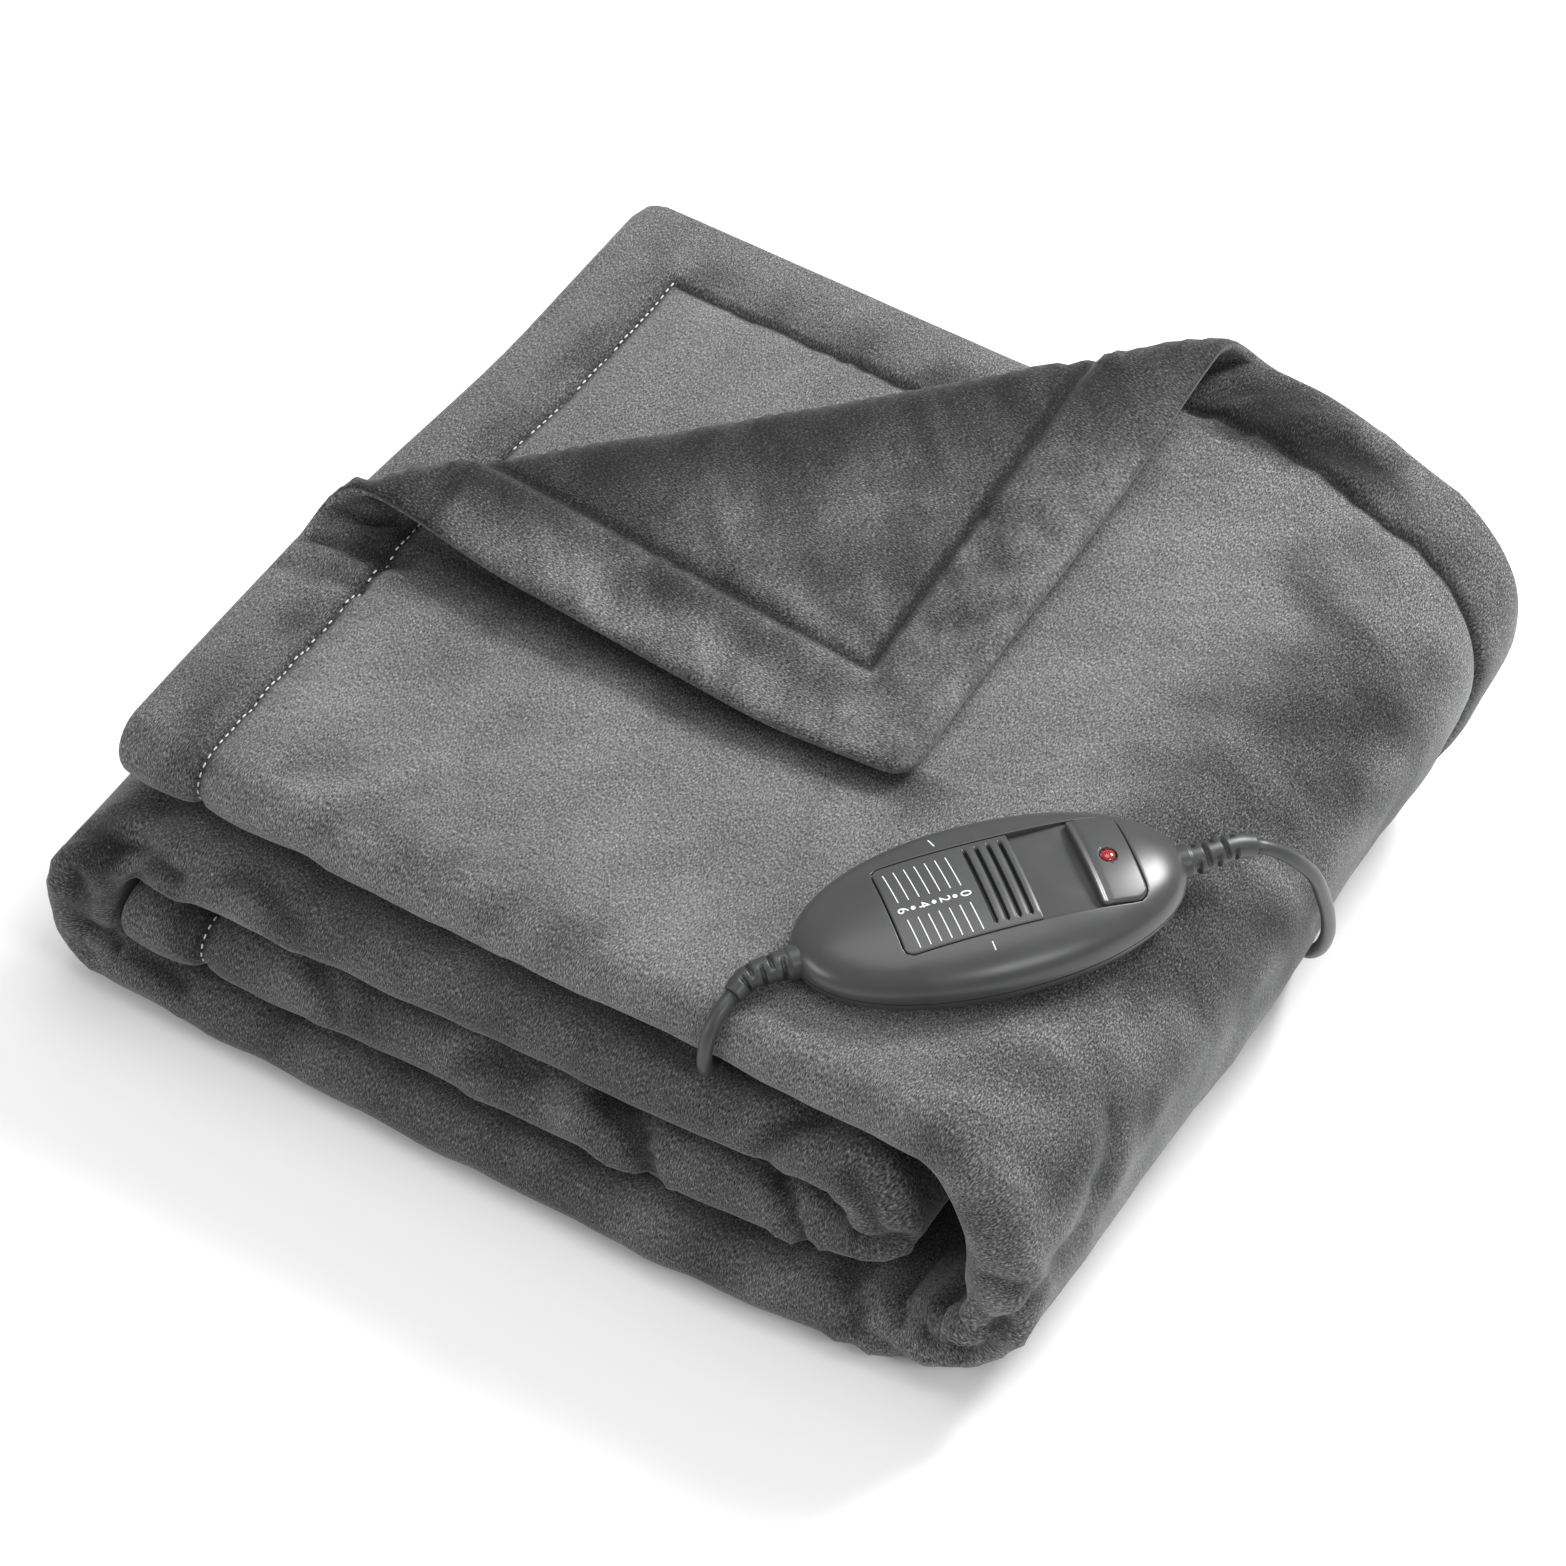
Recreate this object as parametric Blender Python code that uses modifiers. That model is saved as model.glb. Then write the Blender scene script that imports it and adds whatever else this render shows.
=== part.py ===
"""Electric heated blanket, folded, with its slide controller, leads and plug.

The blanket is one flat sheet. It is folded across its width into four plies, which lie as one band, and the band is
then rolled along its length into four levels. One corner of the uppermost ply is turned back. The flat sheet is a
grid with a line at each place where it bends. Each of its points (s along the length, t along the width) goes to its
place in the fold, and a Solidify modifier gives the sheet its thickness.

Sizes are in millimetres, and MM turns them into metres. X runs along the front of the folded blanket, Y from its
front to its back, Z up. The origin is under the middle of the folded blanket, on the surface it rests on.
"""

import math

import bmesh
import bpy
import numpy as np
from mathutils import Matrix, Vector

MM = 0.001
GAP = 0.3  # between touching pieces

# ---- cloth -----------------------------------------------------------------
PLY = 5.2  # thickness of the plush cloth
PLY_GAP = 1.6  # air between two plies of a band
BAND_GAP = 2.4  # air between two bands
PLY_PITCH = PLY + PLY_GAP
BAND = 4 * PLY + 3 * PLY_GAP
PITCH = BAND + BAND_GAP
LEVELS = [BAND / 2 + n * PITCH for n in range(4)]  # middle height of each band, from below
HEIGHT = LEVELS[3] + BAND / 2

EDGE_X = 0.0  # left end of the top band
RIGHT_X = 318.0  # where the top and bottom bands end and the right wrap begins
LEFT_X = 12.8  # where the bottom band ends and the left wrap begins
INNER_X = 292.0  # where the second band turns back inside the right wrap
TAIL_X = 12.4  # far end of the third band
WRAP_R = 34.0  # corner radius of the right wrap
SMALL_R = 18.0  # and of the left one

FRONT_Y = 10.0  # axis of the fold along the front
BACK_Y = 356.0  # back hem of the uppermost ply
SECOND_Y = 319.0  # back hem of the second ply
TUCK_Y = 308.0  # where the third and fourth plies are joined at the back

# The band's middle line, seen from the front: level stretches and turns. turn is in degrees, to the right. lean is how
# far the band stands out in front of the top one at the run's end, and short how much less far back it reaches.
LENGTH_RUNS = (
    # name, length or radius, turn, steps, lean, short
    ("top", RIGHT_X - EDGE_X, 0, 12, 2.0, 2.0),
    ("right_upper", WRAP_R, 90, 5, 16.0, 8.0),
    ("right_side", LEVELS[3] - LEVELS[0] - 2 * WRAP_R, 0, 1, 20.0, 12.0),
    ("right_lower", WRAP_R, 90, 5, 29.0, 20.0),
    ("bottom", RIGHT_X - LEFT_X, 0, 9, 26.0, 34.0),
    ("left_lower", SMALL_R, 90, 4, 28.0, 33.0),
    ("left_side", LEVELS[2] - LEVELS[0] - 2 * SMALL_R, 0, 1, 30.0, 32.0),
    ("left_upper", SMALL_R, 90, 5, 20.0, 31.0),
    ("second", INNER_X - LEFT_X, 0, 8, 9.0, 31.0),
    ("inner_fold", PITCH / 2, 180, 8, 16.0, 33.0),
    ("third", INNER_X - TAIL_X, 0, 8, 23.0, 36.0),
)
# The four plies across the width, seen from the left: from the uppermost ply's back hem to the second ply's.
WIDTH_RUNS = (
    # name, length or radius, turn, steps
    ("first_ply", BACK_Y - FRONT_Y, 0, 9),
    ("front_fold", 1.5 * PLY_PITCH, 180, 6),
    ("fourth_ply", TUCK_Y - FRONT_Y, 0, 5),
    ("back_tuck", 0.5 * PLY_PITCH, 180, 4),
    ("third_ply", TUCK_Y - FRONT_Y, 0, 5),
    ("front_tuck", 0.5 * PLY_PITCH, -180, 4),
    ("second_ply", SECOND_Y - FRONT_Y, 0, 5),
)

# The corner that is turned back over the line y = x + FLAP_LINE.
FLAP_LINE = 103.0
FLAP_R = 9.0  # radius of its bend
FLAP_DROP = 9.0  # how far its tip sinks towards the ply below
FLAP_STEPS = 5

# Soft unevenness: (x, y, reach in x, reach in y, height), largest at the top and none at the floor.
MOUNDS = (
    (60.0, 40.0, 70.0, 60.0, 1.5),
    (170.0, 60.0, 80.0, 50.0, -1.5),
    (150.0, 250.0, 120.0, 80.0, 1.5),
    (250.0, 330.0, 50.0, 40.0, 5.0),
)
TILT = (0.3, 18.0)  # the right side's back stands out by this much a millimetre of height, and draws in by the second
INSET = 7.0  # how far the left side draws in at the back
CHEEK = 6.0  # how far the left wrap draws in at its top
CURL = 19.0  # how far the back edge comes forward round the right wrap
BOW = 9.0  # how far the lower front edge draws back at its right
# Where the blanket's lead goes in between the top band and the next: middle, reach in x and y, how far each is pushed.
ENTRY = (234.0, 16.0, LEVELS[3] - PITCH / 2)
ENTRY_REACH = (45.0, 80.0, 30.0)
ENTRY_OPENS = 2.1

ORIGIN = (174.8, 160.4)  # under the middle of the folded blanket

# ---- controller --------------------------------------------------------------
CASE_AT = (294.8, 79.0)
CASE_TURN = 50.5  # degrees from +X
CASE_SIZE = (67.8, 34.3)  # half length and half width
CASE_UP = 15.5  # height of the cover over the parting line
CASE_DOWN = 11.0
CASE_FOOT = 7.0  # the base is cut flat this far below the parting line
CASE_PLAN = 2.08  # roundness of the outline, 2 is an ellipse
CASE_SECTION = 2.6
RECESS = (-35.6, 31.9, 19.4)  # ends along the case, half width
RECESS_FLOOR = 11.6  # over the parting line
SLIDER = (-35.2, 11.9, 18.9)
GROOVES = (-3.6, 4.1, 16.0)  # the first finger groove, the next one's distance, and their half length
LAMP_BLOCK = (32.3, 49.0, 18.4)
LAMP_L = 40.6
LAMP_R = 2.5

BOOT_R = 5.6
CORD_R = 2.6
COIL_R = 28.0  # middle of the coil's turns
COIL_HALF = 3 * CORD_R  # three turns side by side, and three on each other
COIL_AT = (262.0, 353.0)
TIE = 0.9  # thickness of the band that holds the coil
TIE_ANGLES = (80.0, 98.0)  # it goes round the coil between these angles
COIL_Z = COIL_HALF + 2 * GAP + TIE
PLUG_AT = (158.0, 362.0)  # middle of the face that the pins stand in
PLUG_TURN = 12.0  # degrees from +X that its cord end points to
# The plug's sections: distance from the pin face, half width, half height, roundness.
PLUG_SECTIONS = (
    (0.0, 16.6, 5.9, 5.0),
    (0.9, 17.5, 6.8, 5.0),
    (11.0, 17.5, 6.8, 5.0),
    (19.0, 14.8, 6.8, 4.5),
    (27.0, 10.2, 6.3, 4.0),
    (33.0, 8.0, 5.8, 3.0),
    (36.0, 5.0, 4.8, 2.2),
    (49.0, 3.5, 3.5, 2.0),
)
PIN_R = 2.0
PIN_APART = 18.6
PIN_LENGTH = 19.0
PIN_IN = 5.0  # how deep a pin sits in the body

REST_Z = HEIGHT + 1.0 + CASE_FOOT  # parting line of the case


def smooth(x):
    x = np.clip(x, 0.0, 1.0)
    return x * x * (3 - 2 * x)


# ---- scene -------------------------------------------------------------------
def clear_scene():
    for obj in list(bpy.data.objects):
        bpy.data.objects.remove(obj)


def collection(name, hidden=False):
    found = bpy.data.collections.new(name)
    bpy.context.scene.collection.children.link(found)
    found.hide_render = hidden
    return found


def material(name, colour, roughness, metallic=0.0):
    made = bpy.data.materials.new(name)
    made.use_nodes = True
    shader = made.node_tree.nodes["Principled BSDF"]
    shader.inputs["Base Color"].default_value = (*colour, 1.0)
    shader.inputs["Roughness"].default_value = roughness
    shader.inputs["Metallic"].default_value = metallic
    made.diffuse_color = (*colour, 1.0)
    return made


def add_object(name, data, group, finish):
    obj = bpy.data.objects.new(name, data)
    group.objects.link(obj)
    if finish:
        data.materials.append(finish)
    return obj


def mesh_object(name, bm, group, finish, angle=40):
    """A new object from bm, whose points are in millimetres."""
    bmesh.ops.scale(bm, vec=(MM, MM, MM), verts=bm.verts)
    data = bpy.data.meshes.new(name)
    bm.to_mesh(data)
    bm.free()
    data.shade_smooth()
    data.set_sharp_from_angle(angle=math.radians(angle))
    return add_object(name, data, group, finish)


def boolean(obj, operation, other):
    cut = obj.modifiers.new(operation.lower(), "BOOLEAN")
    cut.operation = operation
    cut.object = other


# ---- cloth -------------------------------------------------------------------
def run_line(runs, start, value):
    """Where the line of runs is at each value of its length: (place, direction), both as (along, up) pairs."""
    place = np.zeros((len(value), 2))
    heading = np.zeros(len(value))
    at = np.array(start, float)
    angle = 0.0
    done = 0.0
    for _, size, turn, *_ in runs:
        sweep = math.radians(turn)
        length = size * abs(sweep) if turn else size
        here = value >= done - 1e-3  # what lies past this run's end is placed again by the next one
        part = value[here] - done
        if turn:
            side = math.copysign(size, turn)
            centre = at + side * np.array([math.sin(angle), -math.cos(angle)])
            now = angle - part / side
            place[here] = centre - side * np.stack([np.sin(now), -np.cos(now)], 1)
            heading[here] = now
            angle -= sweep
            at = centre - side * np.array([math.sin(angle), -math.cos(angle)])
        else:
            step = np.array([math.cos(angle), math.sin(angle)])
            place[here] = at + part[:, None] * step
            heading[here] = angle
            at = at + length * step
        done += length
    return place, heading


def stations(runs):
    """The values along the runs where the flat sheet has a line."""
    found = [0.0]
    for _, size, turn, steps, *_ in runs:
        length = size * abs(math.radians(turn)) if turn else size
        found += [found[-1] + length * (n + 1) / steps for n in range(steps)]
    return found


def ends(runs):
    """The length done at the start and at each run's end."""
    lengths = [size * abs(math.radians(turn)) if turn else size for _, size, turn, *_ in runs]
    return np.cumsum([0.0, *lengths])


def folded(s, t):
    """The place in the folded blanket of the flat sheet's points (s, t), before it settles."""
    across, _ = run_line(WIDTH_RUNS, (0.0, 0.0), t)
    y = BACK_Y - across[:, 0]
    marks = ends(LENGTH_RUNS)
    lean = np.interp(s, marks, [0.0] + [run[4] for run in LENGTH_RUNS])
    short = np.interp(s, marks, [0.0] + [run[5] for run in LENGTH_RUNS])
    y = y - lean - short * smooth((y - 110.0) / 330.0)
    offset = 1.5 * PLY_PITCH + across[:, 1]
    rise = np.zeros(len(s))
    x_shift = np.zeros(len(s))
    # The turned corner: past its line the uppermost ply goes round a bend and back over itself.
    past = (FLAP_LINE_ST - s - t) / math.sqrt(2)
    bend = math.pi * FLAP_R
    turn = np.clip(past, 0, bend) / FLAP_R
    back = np.clip(past - bend, 0, None)
    moved = np.where(past > 0, FLAP_R * np.sin(turn) - back - past, 0.0)
    x_shift -= moved / math.sqrt(2)
    y = y + moved / math.sqrt(2)
    rise += FLAP_R * (1 - np.cos(turn)) - FLAP_DROP * smooth(back / 150.0)
    along, heading = run_line(LENGTH_RUNS, (EDGE_X, LEVELS[3]), s)
    x = along[:, 0] - np.sin(heading) * offset + x_shift
    z = along[:, 1] + np.cos(heading) * offset + rise
    return x, y, z


FLAP_LINE_ST = BACK_Y - FLAP_LINE - EDGE_X  # the same line on the flat sheet: s + t


def settled(x, y, z):
    """The folded blanket's points after it has settled: its sides draw in and its top is a little uneven."""
    x = x + smooth((y - 150.0) / 130.0) * smooth((x - 200.0) / 120.0) * (TILT[0] * z - TILT[1])
    x = x + CHEEK * smooth((z - 40.0) / 32.0) * smooth((30.0 - x) / 20.0) * smooth((84.0 - z) / 4.0)
    x = x + INSET * smooth((y - 120.0) / 120.0) * smooth((190.0 - x) / 190.0)
    y = y + BOW * smooth((x - 230.0) / 110.0) * smooth((70.0 - y) / 80.0) * smooth((72.0 - z) / 50.0)
    y = y - CURL * smooth((x - 262.0) / 100.0) * np.clip((y - 60.0) / 296.0, 0, 1.1)
    lift = np.zeros(len(x))
    for mx, my, rx, ry, height in MOUNDS:
        lift += height * np.exp(-(((x - mx) / rx) ** 2) - ((y - my) / ry) ** 2)
    near = np.exp(-(((x - CASE_AT[0]) / 75.0) ** 4) - ((y - CASE_AT[1]) / 85.0) ** 4)
    ex, ey, ez = ENTRY
    parting = np.exp(-(((x - ex) / ENTRY_REACH[0]) ** 4) - ((y - ey) / ENTRY_REACH[1]) ** 4)
    parting *= 1 - smooth(np.abs(z - ez) / ENTRY_REACH[2])
    z = z + lift * (1 - near) * smooth((z - 14.0) / 80.0) + ENTRY_OPENS * parting * np.sign(z - ez)
    return x, y, z


def make_blanket(group, finish):
    s_lines = stations(LENGTH_RUNS)
    t_lines = stations(WIDTH_RUNS)
    bm = bmesh.new()
    rows = [[bm.verts.new((s, t, 0)) for t in t_lines] for s in s_lines]
    for a, b in zip(rows, rows[1:]):
        for n in range(len(t_lines) - 1):
            bm.faces.new((a[n], b[n], b[n + 1], a[n + 1]))
    bend = math.pi * FLAP_R * math.sqrt(2)
    for n in range(FLAP_STEPS + 1):
        line = FLAP_LINE_ST - bend * n / FLAP_STEPS
        bmesh.ops.bisect_plane(
            bm,
            geom=bm.verts[:] + bm.edges[:] + bm.faces[:],
            dist=1.2,
            plane_co=(line, 0, 0),
            plane_no=(1, 1, 0),
        )
    bmesh.ops.triangulate(bm, faces=[f for f in bm.faces if len(f.verts) != 4])
    flat = np.array([v.co for v in bm.verts])
    x, y, z = settled(*folded(flat[:, 0], flat[:, 1]))
    for v, place in zip(bm.verts, np.stack([x - ORIGIN[0], y - ORIGIN[1], z], 1)):
        v.co = place
    obj = mesh_object("blanket", bm, group, finish, angle=180)
    thick = obj.modifiers.new("thickness", "SOLIDIFY")
    thick.thickness = PLY * MM
    thick.offset = 0
    return obj


# ---- controller --------------------------------------------------------------
def case_matrix():
    """From the case's own axes (length, width, up from the parting line) to the part's."""
    place = Vector((CASE_AT[0] - ORIGIN[0], CASE_AT[1] - ORIGIN[1], REST_Z)) * MM
    return Matrix.Translation(place) @ Matrix.Rotation(math.radians(CASE_TURN), 4, "Z")


def dome(bm, up, down, grow=0.0, segments=36, rings=16):
    """A closed pebble: an oval outline, domed above the parting plane and below it."""
    made = bmesh.ops.create_uvsphere(bm, u_segments=segments, v_segments=rings, radius=1)
    for v in made["verts"]:
        flat = math.hypot(v.co.x, v.co.y)
        if flat > 1e-6:
            c, s = v.co.x / flat, v.co.y / flat
            reach = (abs(c) ** CASE_PLAN + abs(s) ** CASE_PLAN) ** (-1 / CASE_PLAN)
            ring = abs(flat) ** (2 / CASE_SECTION)
            v.co.x = c * reach * ring * (CASE_SIZE[0] + grow)
            v.co.y = s * reach * ring * (CASE_SIZE[1] + grow)
        lift = abs(v.co.z) ** (2 / CASE_SECTION)
        v.co.z = lift * (up + grow) if v.co.z > 0 else -lift * (down + grow)
    return made["verts"]


def cut_flat(bm, height, keep_above):
    """Cuts the closed shape at a level and closes the cut."""
    found = bmesh.ops.bisect_plane(
        bm,
        geom=bm.verts[:] + bm.edges[:] + bm.faces[:],
        dist=1e-5,
        plane_co=(0, 0, height),
        plane_no=(0, 0, 1),
        clear_inner=keep_above,
        clear_outer=not keep_above,
    )
    edges = [e for e in found["geom_cut"] if isinstance(e, bmesh.types.BMEdge)]
    bmesh.ops.holes_fill(bm, edges=edges, sides=0)
    bmesh.ops.recalc_face_normals(bm, faces=bm.faces)


def slab(bm, low, high, half, bottom, top, corner):
    """A block with rounded upright edges, from low to high along the case."""
    made = bmesh.ops.create_cube(bm, size=1)
    for v in made["verts"]:
        v.co.x = low if v.co.x < 0 else high
        v.co.y *= 2 * half
        v.co.z = bottom if v.co.z < 0 else top
    upright = [e for e in bm.edges if abs(e.verts[0].co.z - e.verts[1].co.z) > 1e-6 and e.is_valid]
    bmesh.ops.bevel(bm, geom=upright, offset=corner, segments=4, profile=0.5, affect="EDGES")


def cutter(name, bm, group):
    obj = mesh_object(name, bm, group, None)
    obj.display_type = "WIRE"
    obj.hide_render = True
    obj.matrix_world = case_matrix()
    return obj


def block_cutter(name, group, low, high, half, bottom, top, corner):
    bm = bmesh.new()
    slab(bm, low, high, half, bottom, top, corner)
    return cutter(name, bm, group)


def make_case(group, cutters, finishes):
    inside = CASE_SIZE[0] - 5.0
    bm = bmesh.new()
    made = bmesh.ops.create_cone(
        bm, cap_ends=True, segments=24, radius1=BOOT_R + 0.4, radius2=BOOT_R + 0.4, depth=2 * 40.0
    )
    bmesh.ops.rotate(bm, cent=(0, 0, 0), matrix=Matrix.Rotation(math.pi / 2, 3, "Y"), verts=made["verts"])
    other = bmesh.ops.duplicate(bm, geom=bm.verts[:] + bm.edges[:] + bm.faces[:])
    moved = [v for v in other["geom"] if isinstance(v, bmesh.types.BMVert)]
    bmesh.ops.translate(bm, vec=(inside + 40.0, 0, 0), verts=moved)
    bmesh.ops.translate(bm, vec=(-inside - 40.0, 0, 0), verts=[v for v in bm.verts if v not in set(moved)])
    bores = cutter("boot_bores", bm, cutters)

    bm = bmesh.new()
    dome(bm, CASE_UP, CASE_DOWN)
    cut_flat(bm, -GAP / 2, False)
    cut_flat(bm, -CASE_FOOT, True)
    base = mesh_object("controller_base", bm, group, finishes["case"])
    base.matrix_world = case_matrix()
    boolean(base, "DIFFERENCE", bores)

    bm = bmesh.new()
    dome(bm, CASE_UP, CASE_DOWN)
    cut_flat(bm, GAP / 2, True)
    cover = mesh_object("controller_cover", bm, group, finishes["case"])
    cover.matrix_world = case_matrix()
    boolean(cover, "DIFFERENCE", bores)
    boolean(cover, "DIFFERENCE", block_cutter("recess", cutters, *RECESS, RECESS_FLOOR, 30.0, 2.5))
    seat = block_cutter(
        "lamp_seat", cutters, LAMP_BLOCK[0] - GAP, LAMP_BLOCK[1] + GAP, LAMP_BLOCK[2] + GAP, 8.0, 30.0, 5.0
    )
    boolean(cover, "DIFFERENCE", seat)

    bm = bmesh.new()
    dome(bm, CASE_UP + 0.4, CASE_DOWN)
    block = mesh_object("lamp_block", bm, group, finishes["case"])
    block.matrix_world = case_matrix()
    boolean(block, "INTERSECT", block_cutter("lamp_block_form", cutters, *LAMP_BLOCK, 8.0 + GAP, 30.0, 4.7))
    bm = bmesh.new()
    well = bmesh.ops.create_cone(
        bm, cap_ends=True, segments=20, radius1=LAMP_R + GAP, radius2=LAMP_R + GAP, depth=20.0
    )
    bmesh.ops.translate(bm, vec=(LAMP_L, 0, 10.6 + 10.0), verts=well["verts"])
    boolean(block, "DIFFERENCE", cutter("lamp_well", bm, cutters))

    bm = bmesh.new()
    ball = bmesh.ops.create_uvsphere(bm, u_segments=16, v_segments=10, radius=LAMP_R)
    bmesh.ops.translate(bm, vec=(LAMP_L, 0, 13.9), verts=ball["verts"])
    cut_flat(bm, 12.4, True)
    lamp = mesh_object("lamp", bm, group, finishes["lamp"])
    lamp.matrix_world = case_matrix()


def make_slider(group, cutters, finish):
    bm = bmesh.new()
    dome(bm, CASE_UP - 0.1, CASE_DOWN)
    slider = mesh_object("slider", bm, group, finish)
    slider.matrix_world = case_matrix()
    form = block_cutter("slider_form", cutters, *SLIDER, RECESS_FLOOR + GAP, 30.0, 2.2)
    boolean(slider, "INTERSECT", form)
    for n in range(4):
        at = GROOVES[0] + GROOVES[1] * n
        groove = block_cutter(f"groove_{n}", cutters, at - 0.6, at + 0.6, GROOVES[2], CASE_UP - 1.2, 30.0, 0.3)
        boolean(slider, "DIFFERENCE", groove)


# ---- leads -------------------------------------------------------------------
def smooth_route(points, step):
    """Places every step along a smooth curve through the points: a Catmull-Rom spline read by its length."""
    p = np.array(points, float)
    p = np.vstack([2 * p[0] - p[1], p, 2 * p[-1] - p[-2]])
    u = np.linspace(0, 1, 24, endpoint=False)[:, None]
    fine = [
        0.5
        * (
            2 * b
            + (c - a) * u
            + (2 * a - 5 * b + 4 * c - d) * u**2
            + (3 * b - a - 3 * c + d) * u**3
        )
        for a, b, c, d in zip(p, p[1:], p[2:], p[3:])
    ]
    fine = np.vstack([*fine, p[-2:-1]])
    length = np.concatenate([[0], np.cumsum(np.linalg.norm(np.diff(fine, axis=0), axis=1))])
    at = np.linspace(0, length[-1], max(2, round(length[-1] / step) + 1))
    return np.stack([np.interp(at, length, fine[:, k]) for k in range(3)], 1)


def tube(name, places, radii, group, finish, sides=2):
    """A curve with a round bevel along the places, in millimetres, with a radius at each."""
    data = bpy.data.curves.new(name, "CURVE")
    data.dimensions = "3D"
    data.bevel_depth = MM
    data.bevel_resolution = sides
    data.use_fill_caps = True
    spline = data.splines.new("POLY")
    spline.points.add(len(places) - 1)
    for point, place, radius in zip(spline.points, places, radii):
        point.co = (*((np.array(place) - (*ORIGIN, 0)) * MM), 1)
        point.radius = radius
    return add_object(name, data, group, finish)


# Middle lines of the boots and leads. Each boot starts inside its bore.
def on_case(along, up=0.0, side=0.0):
    turn = math.radians(CASE_TURN)
    return (
        CASE_AT[0] + along * math.cos(turn) - side * math.sin(turn),
        CASE_AT[1] + along * math.sin(turn) + side * math.cos(turn),
        REST_Z + up,
    )


BOOT_ROUTES = {
    "boot_blanket_side": (on_case(-63.1), on_case(-74.0), (242.2, 14.0, 116.5), (240.8, 7.5, 114.4)),
    "boot_mains_side": (on_case(63.1), on_case(74.0), (348.5, 146.5, 117.0), (353.0, 152.0, 115.2)),
}
LEAD_ROUTE = (
    (240.8, 7.5, 114.4),
    (240.2, 0.6, 112.4),
    (239.8, -5.4, 107.2),
    (239.8, -8.6, 98.4),
    (239.4, -7.4, 91.0),
    (238.2, -3.2, 86.2),
    (236.4, 4.0, 83.4),
    (233.6, 14.0, 82.8),
    (230.6, 26.0, 82.8),
    (228.0, 36.0, 82.8),
)
MAINS_ROUTE = (
    (353.0, 152.0, 115.2),
    (358.0, 156.2, 112.4),
    (364.2, 161.5, 105.5),
    (368.6, 167.5, 94.5),
    (369.8, 173.5, 79.0),
    (369.4, 180.0, 62.0),
    (367.0, 186.5, 44.0),
    (361.6, 192.5, 27.0),
    (353.0, 200.5, 12.5),
    (344.0, 213.0, 4.4),
    (339.5, 230.0, 2.7),
    (338.5, 252.0, 2.7),
    (336.0, 275.0, 2.7),
    (331.5, 298.0, 2.7),
    (325.0, 320.0, 2.7),
    (315.5, 342.0, 3.2),
    (299.3, 362.2, 4.1),
)
PLUG_ROUTE = (
    (237.6, 383.4, 13.4),
    (226.5, 378.2, 10.5),
    (215.0, 374.1, 8.2),
    (206.5, 372.3, 7.1),
)


def make_boot(name, route, group, finish):
    """A tapered rubber sleeve with five ribs."""
    places = smooth_route(route, 0.5)
    count = len(places)
    ribs = 5
    chosen, radii = [0], [BOOT_R]
    for n in range(ribs):
        start = 0.34 + 0.66 * n / ribs
        for part, high in ((0.0, 0), (0.18, 1), (0.62, 1), (0.8, 0)):
            at = start + 0.66 * part / ribs
            chosen.append(min(count - 1, round(at * (count - 1))))
            radii.append(BOOT_R - 1.9 * at + (0.0 if high else -1.2))
    chosen.append(count - 1)
    radii.append(CORD_R + 0.7)
    radii[1] = BOOT_R
    return tube(name, places[chosen], radii, group, finish, sides=3)


def make_leads(group, finishes):
    for name, route in BOOT_ROUTES.items():
        make_boot(name, route, group, finishes["rubber"])
    routes = {"lead_blanket_side": LEAD_ROUTE, "lead_mains_side": MAINS_ROUTE, "lead_plug_side": PLUG_ROUTE}
    for name, route in routes.items():
        places = smooth_route(route, 6.0)
        first = places[1] - places[0]
        places[0] += (GAP + 0.2) * first / np.linalg.norm(first)
        tube(name, places, [CORD_R] * len(places), group, finishes["rubber"])


def rounded_square(half, corner, steps=3):
    """Points round a square with round corners, anticlockwise."""
    found = []
    for n in range(4):
        middle = math.pi / 4 + n * math.pi / 2
        cx, cy = ((half - corner) * math.sqrt(2) * f(middle) for f in (math.cos, math.sin))
        for k in range(steps + 1):
            angle = middle + math.pi / 2 * (k / steps - 0.5)
            found.append((cx + corner * math.cos(angle), cy + corner * math.sin(angle)))
    return found


def skin(bm, rings, closed):
    """Faces between each ring of points and the next, and from the last to the first if it is closed."""
    rings = [[bm.verts.new(p) for p in ring] for ring in rings]
    for a, b in zip(rings, rings[1:] + rings[:1] if closed else rings[1:]):
        for n in range(len(a)):
            m = (n + 1) % len(a)
            bm.faces.new((a[n], a[m], b[m], b[n]))
    return rings


def turned(profile, degrees):
    """The profile's points turned about the coil's axis."""
    c, s = math.cos(math.radians(degrees)), math.sin(math.radians(degrees))
    return [
        (
            COIL_AT[0] - ORIGIN[0] + (COIL_R + r) * c,
            COIL_AT[1] - ORIGIN[1] + (COIL_R + r) * s,
            COIL_Z + z,
        )
        for r, z in profile
    ]


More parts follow.
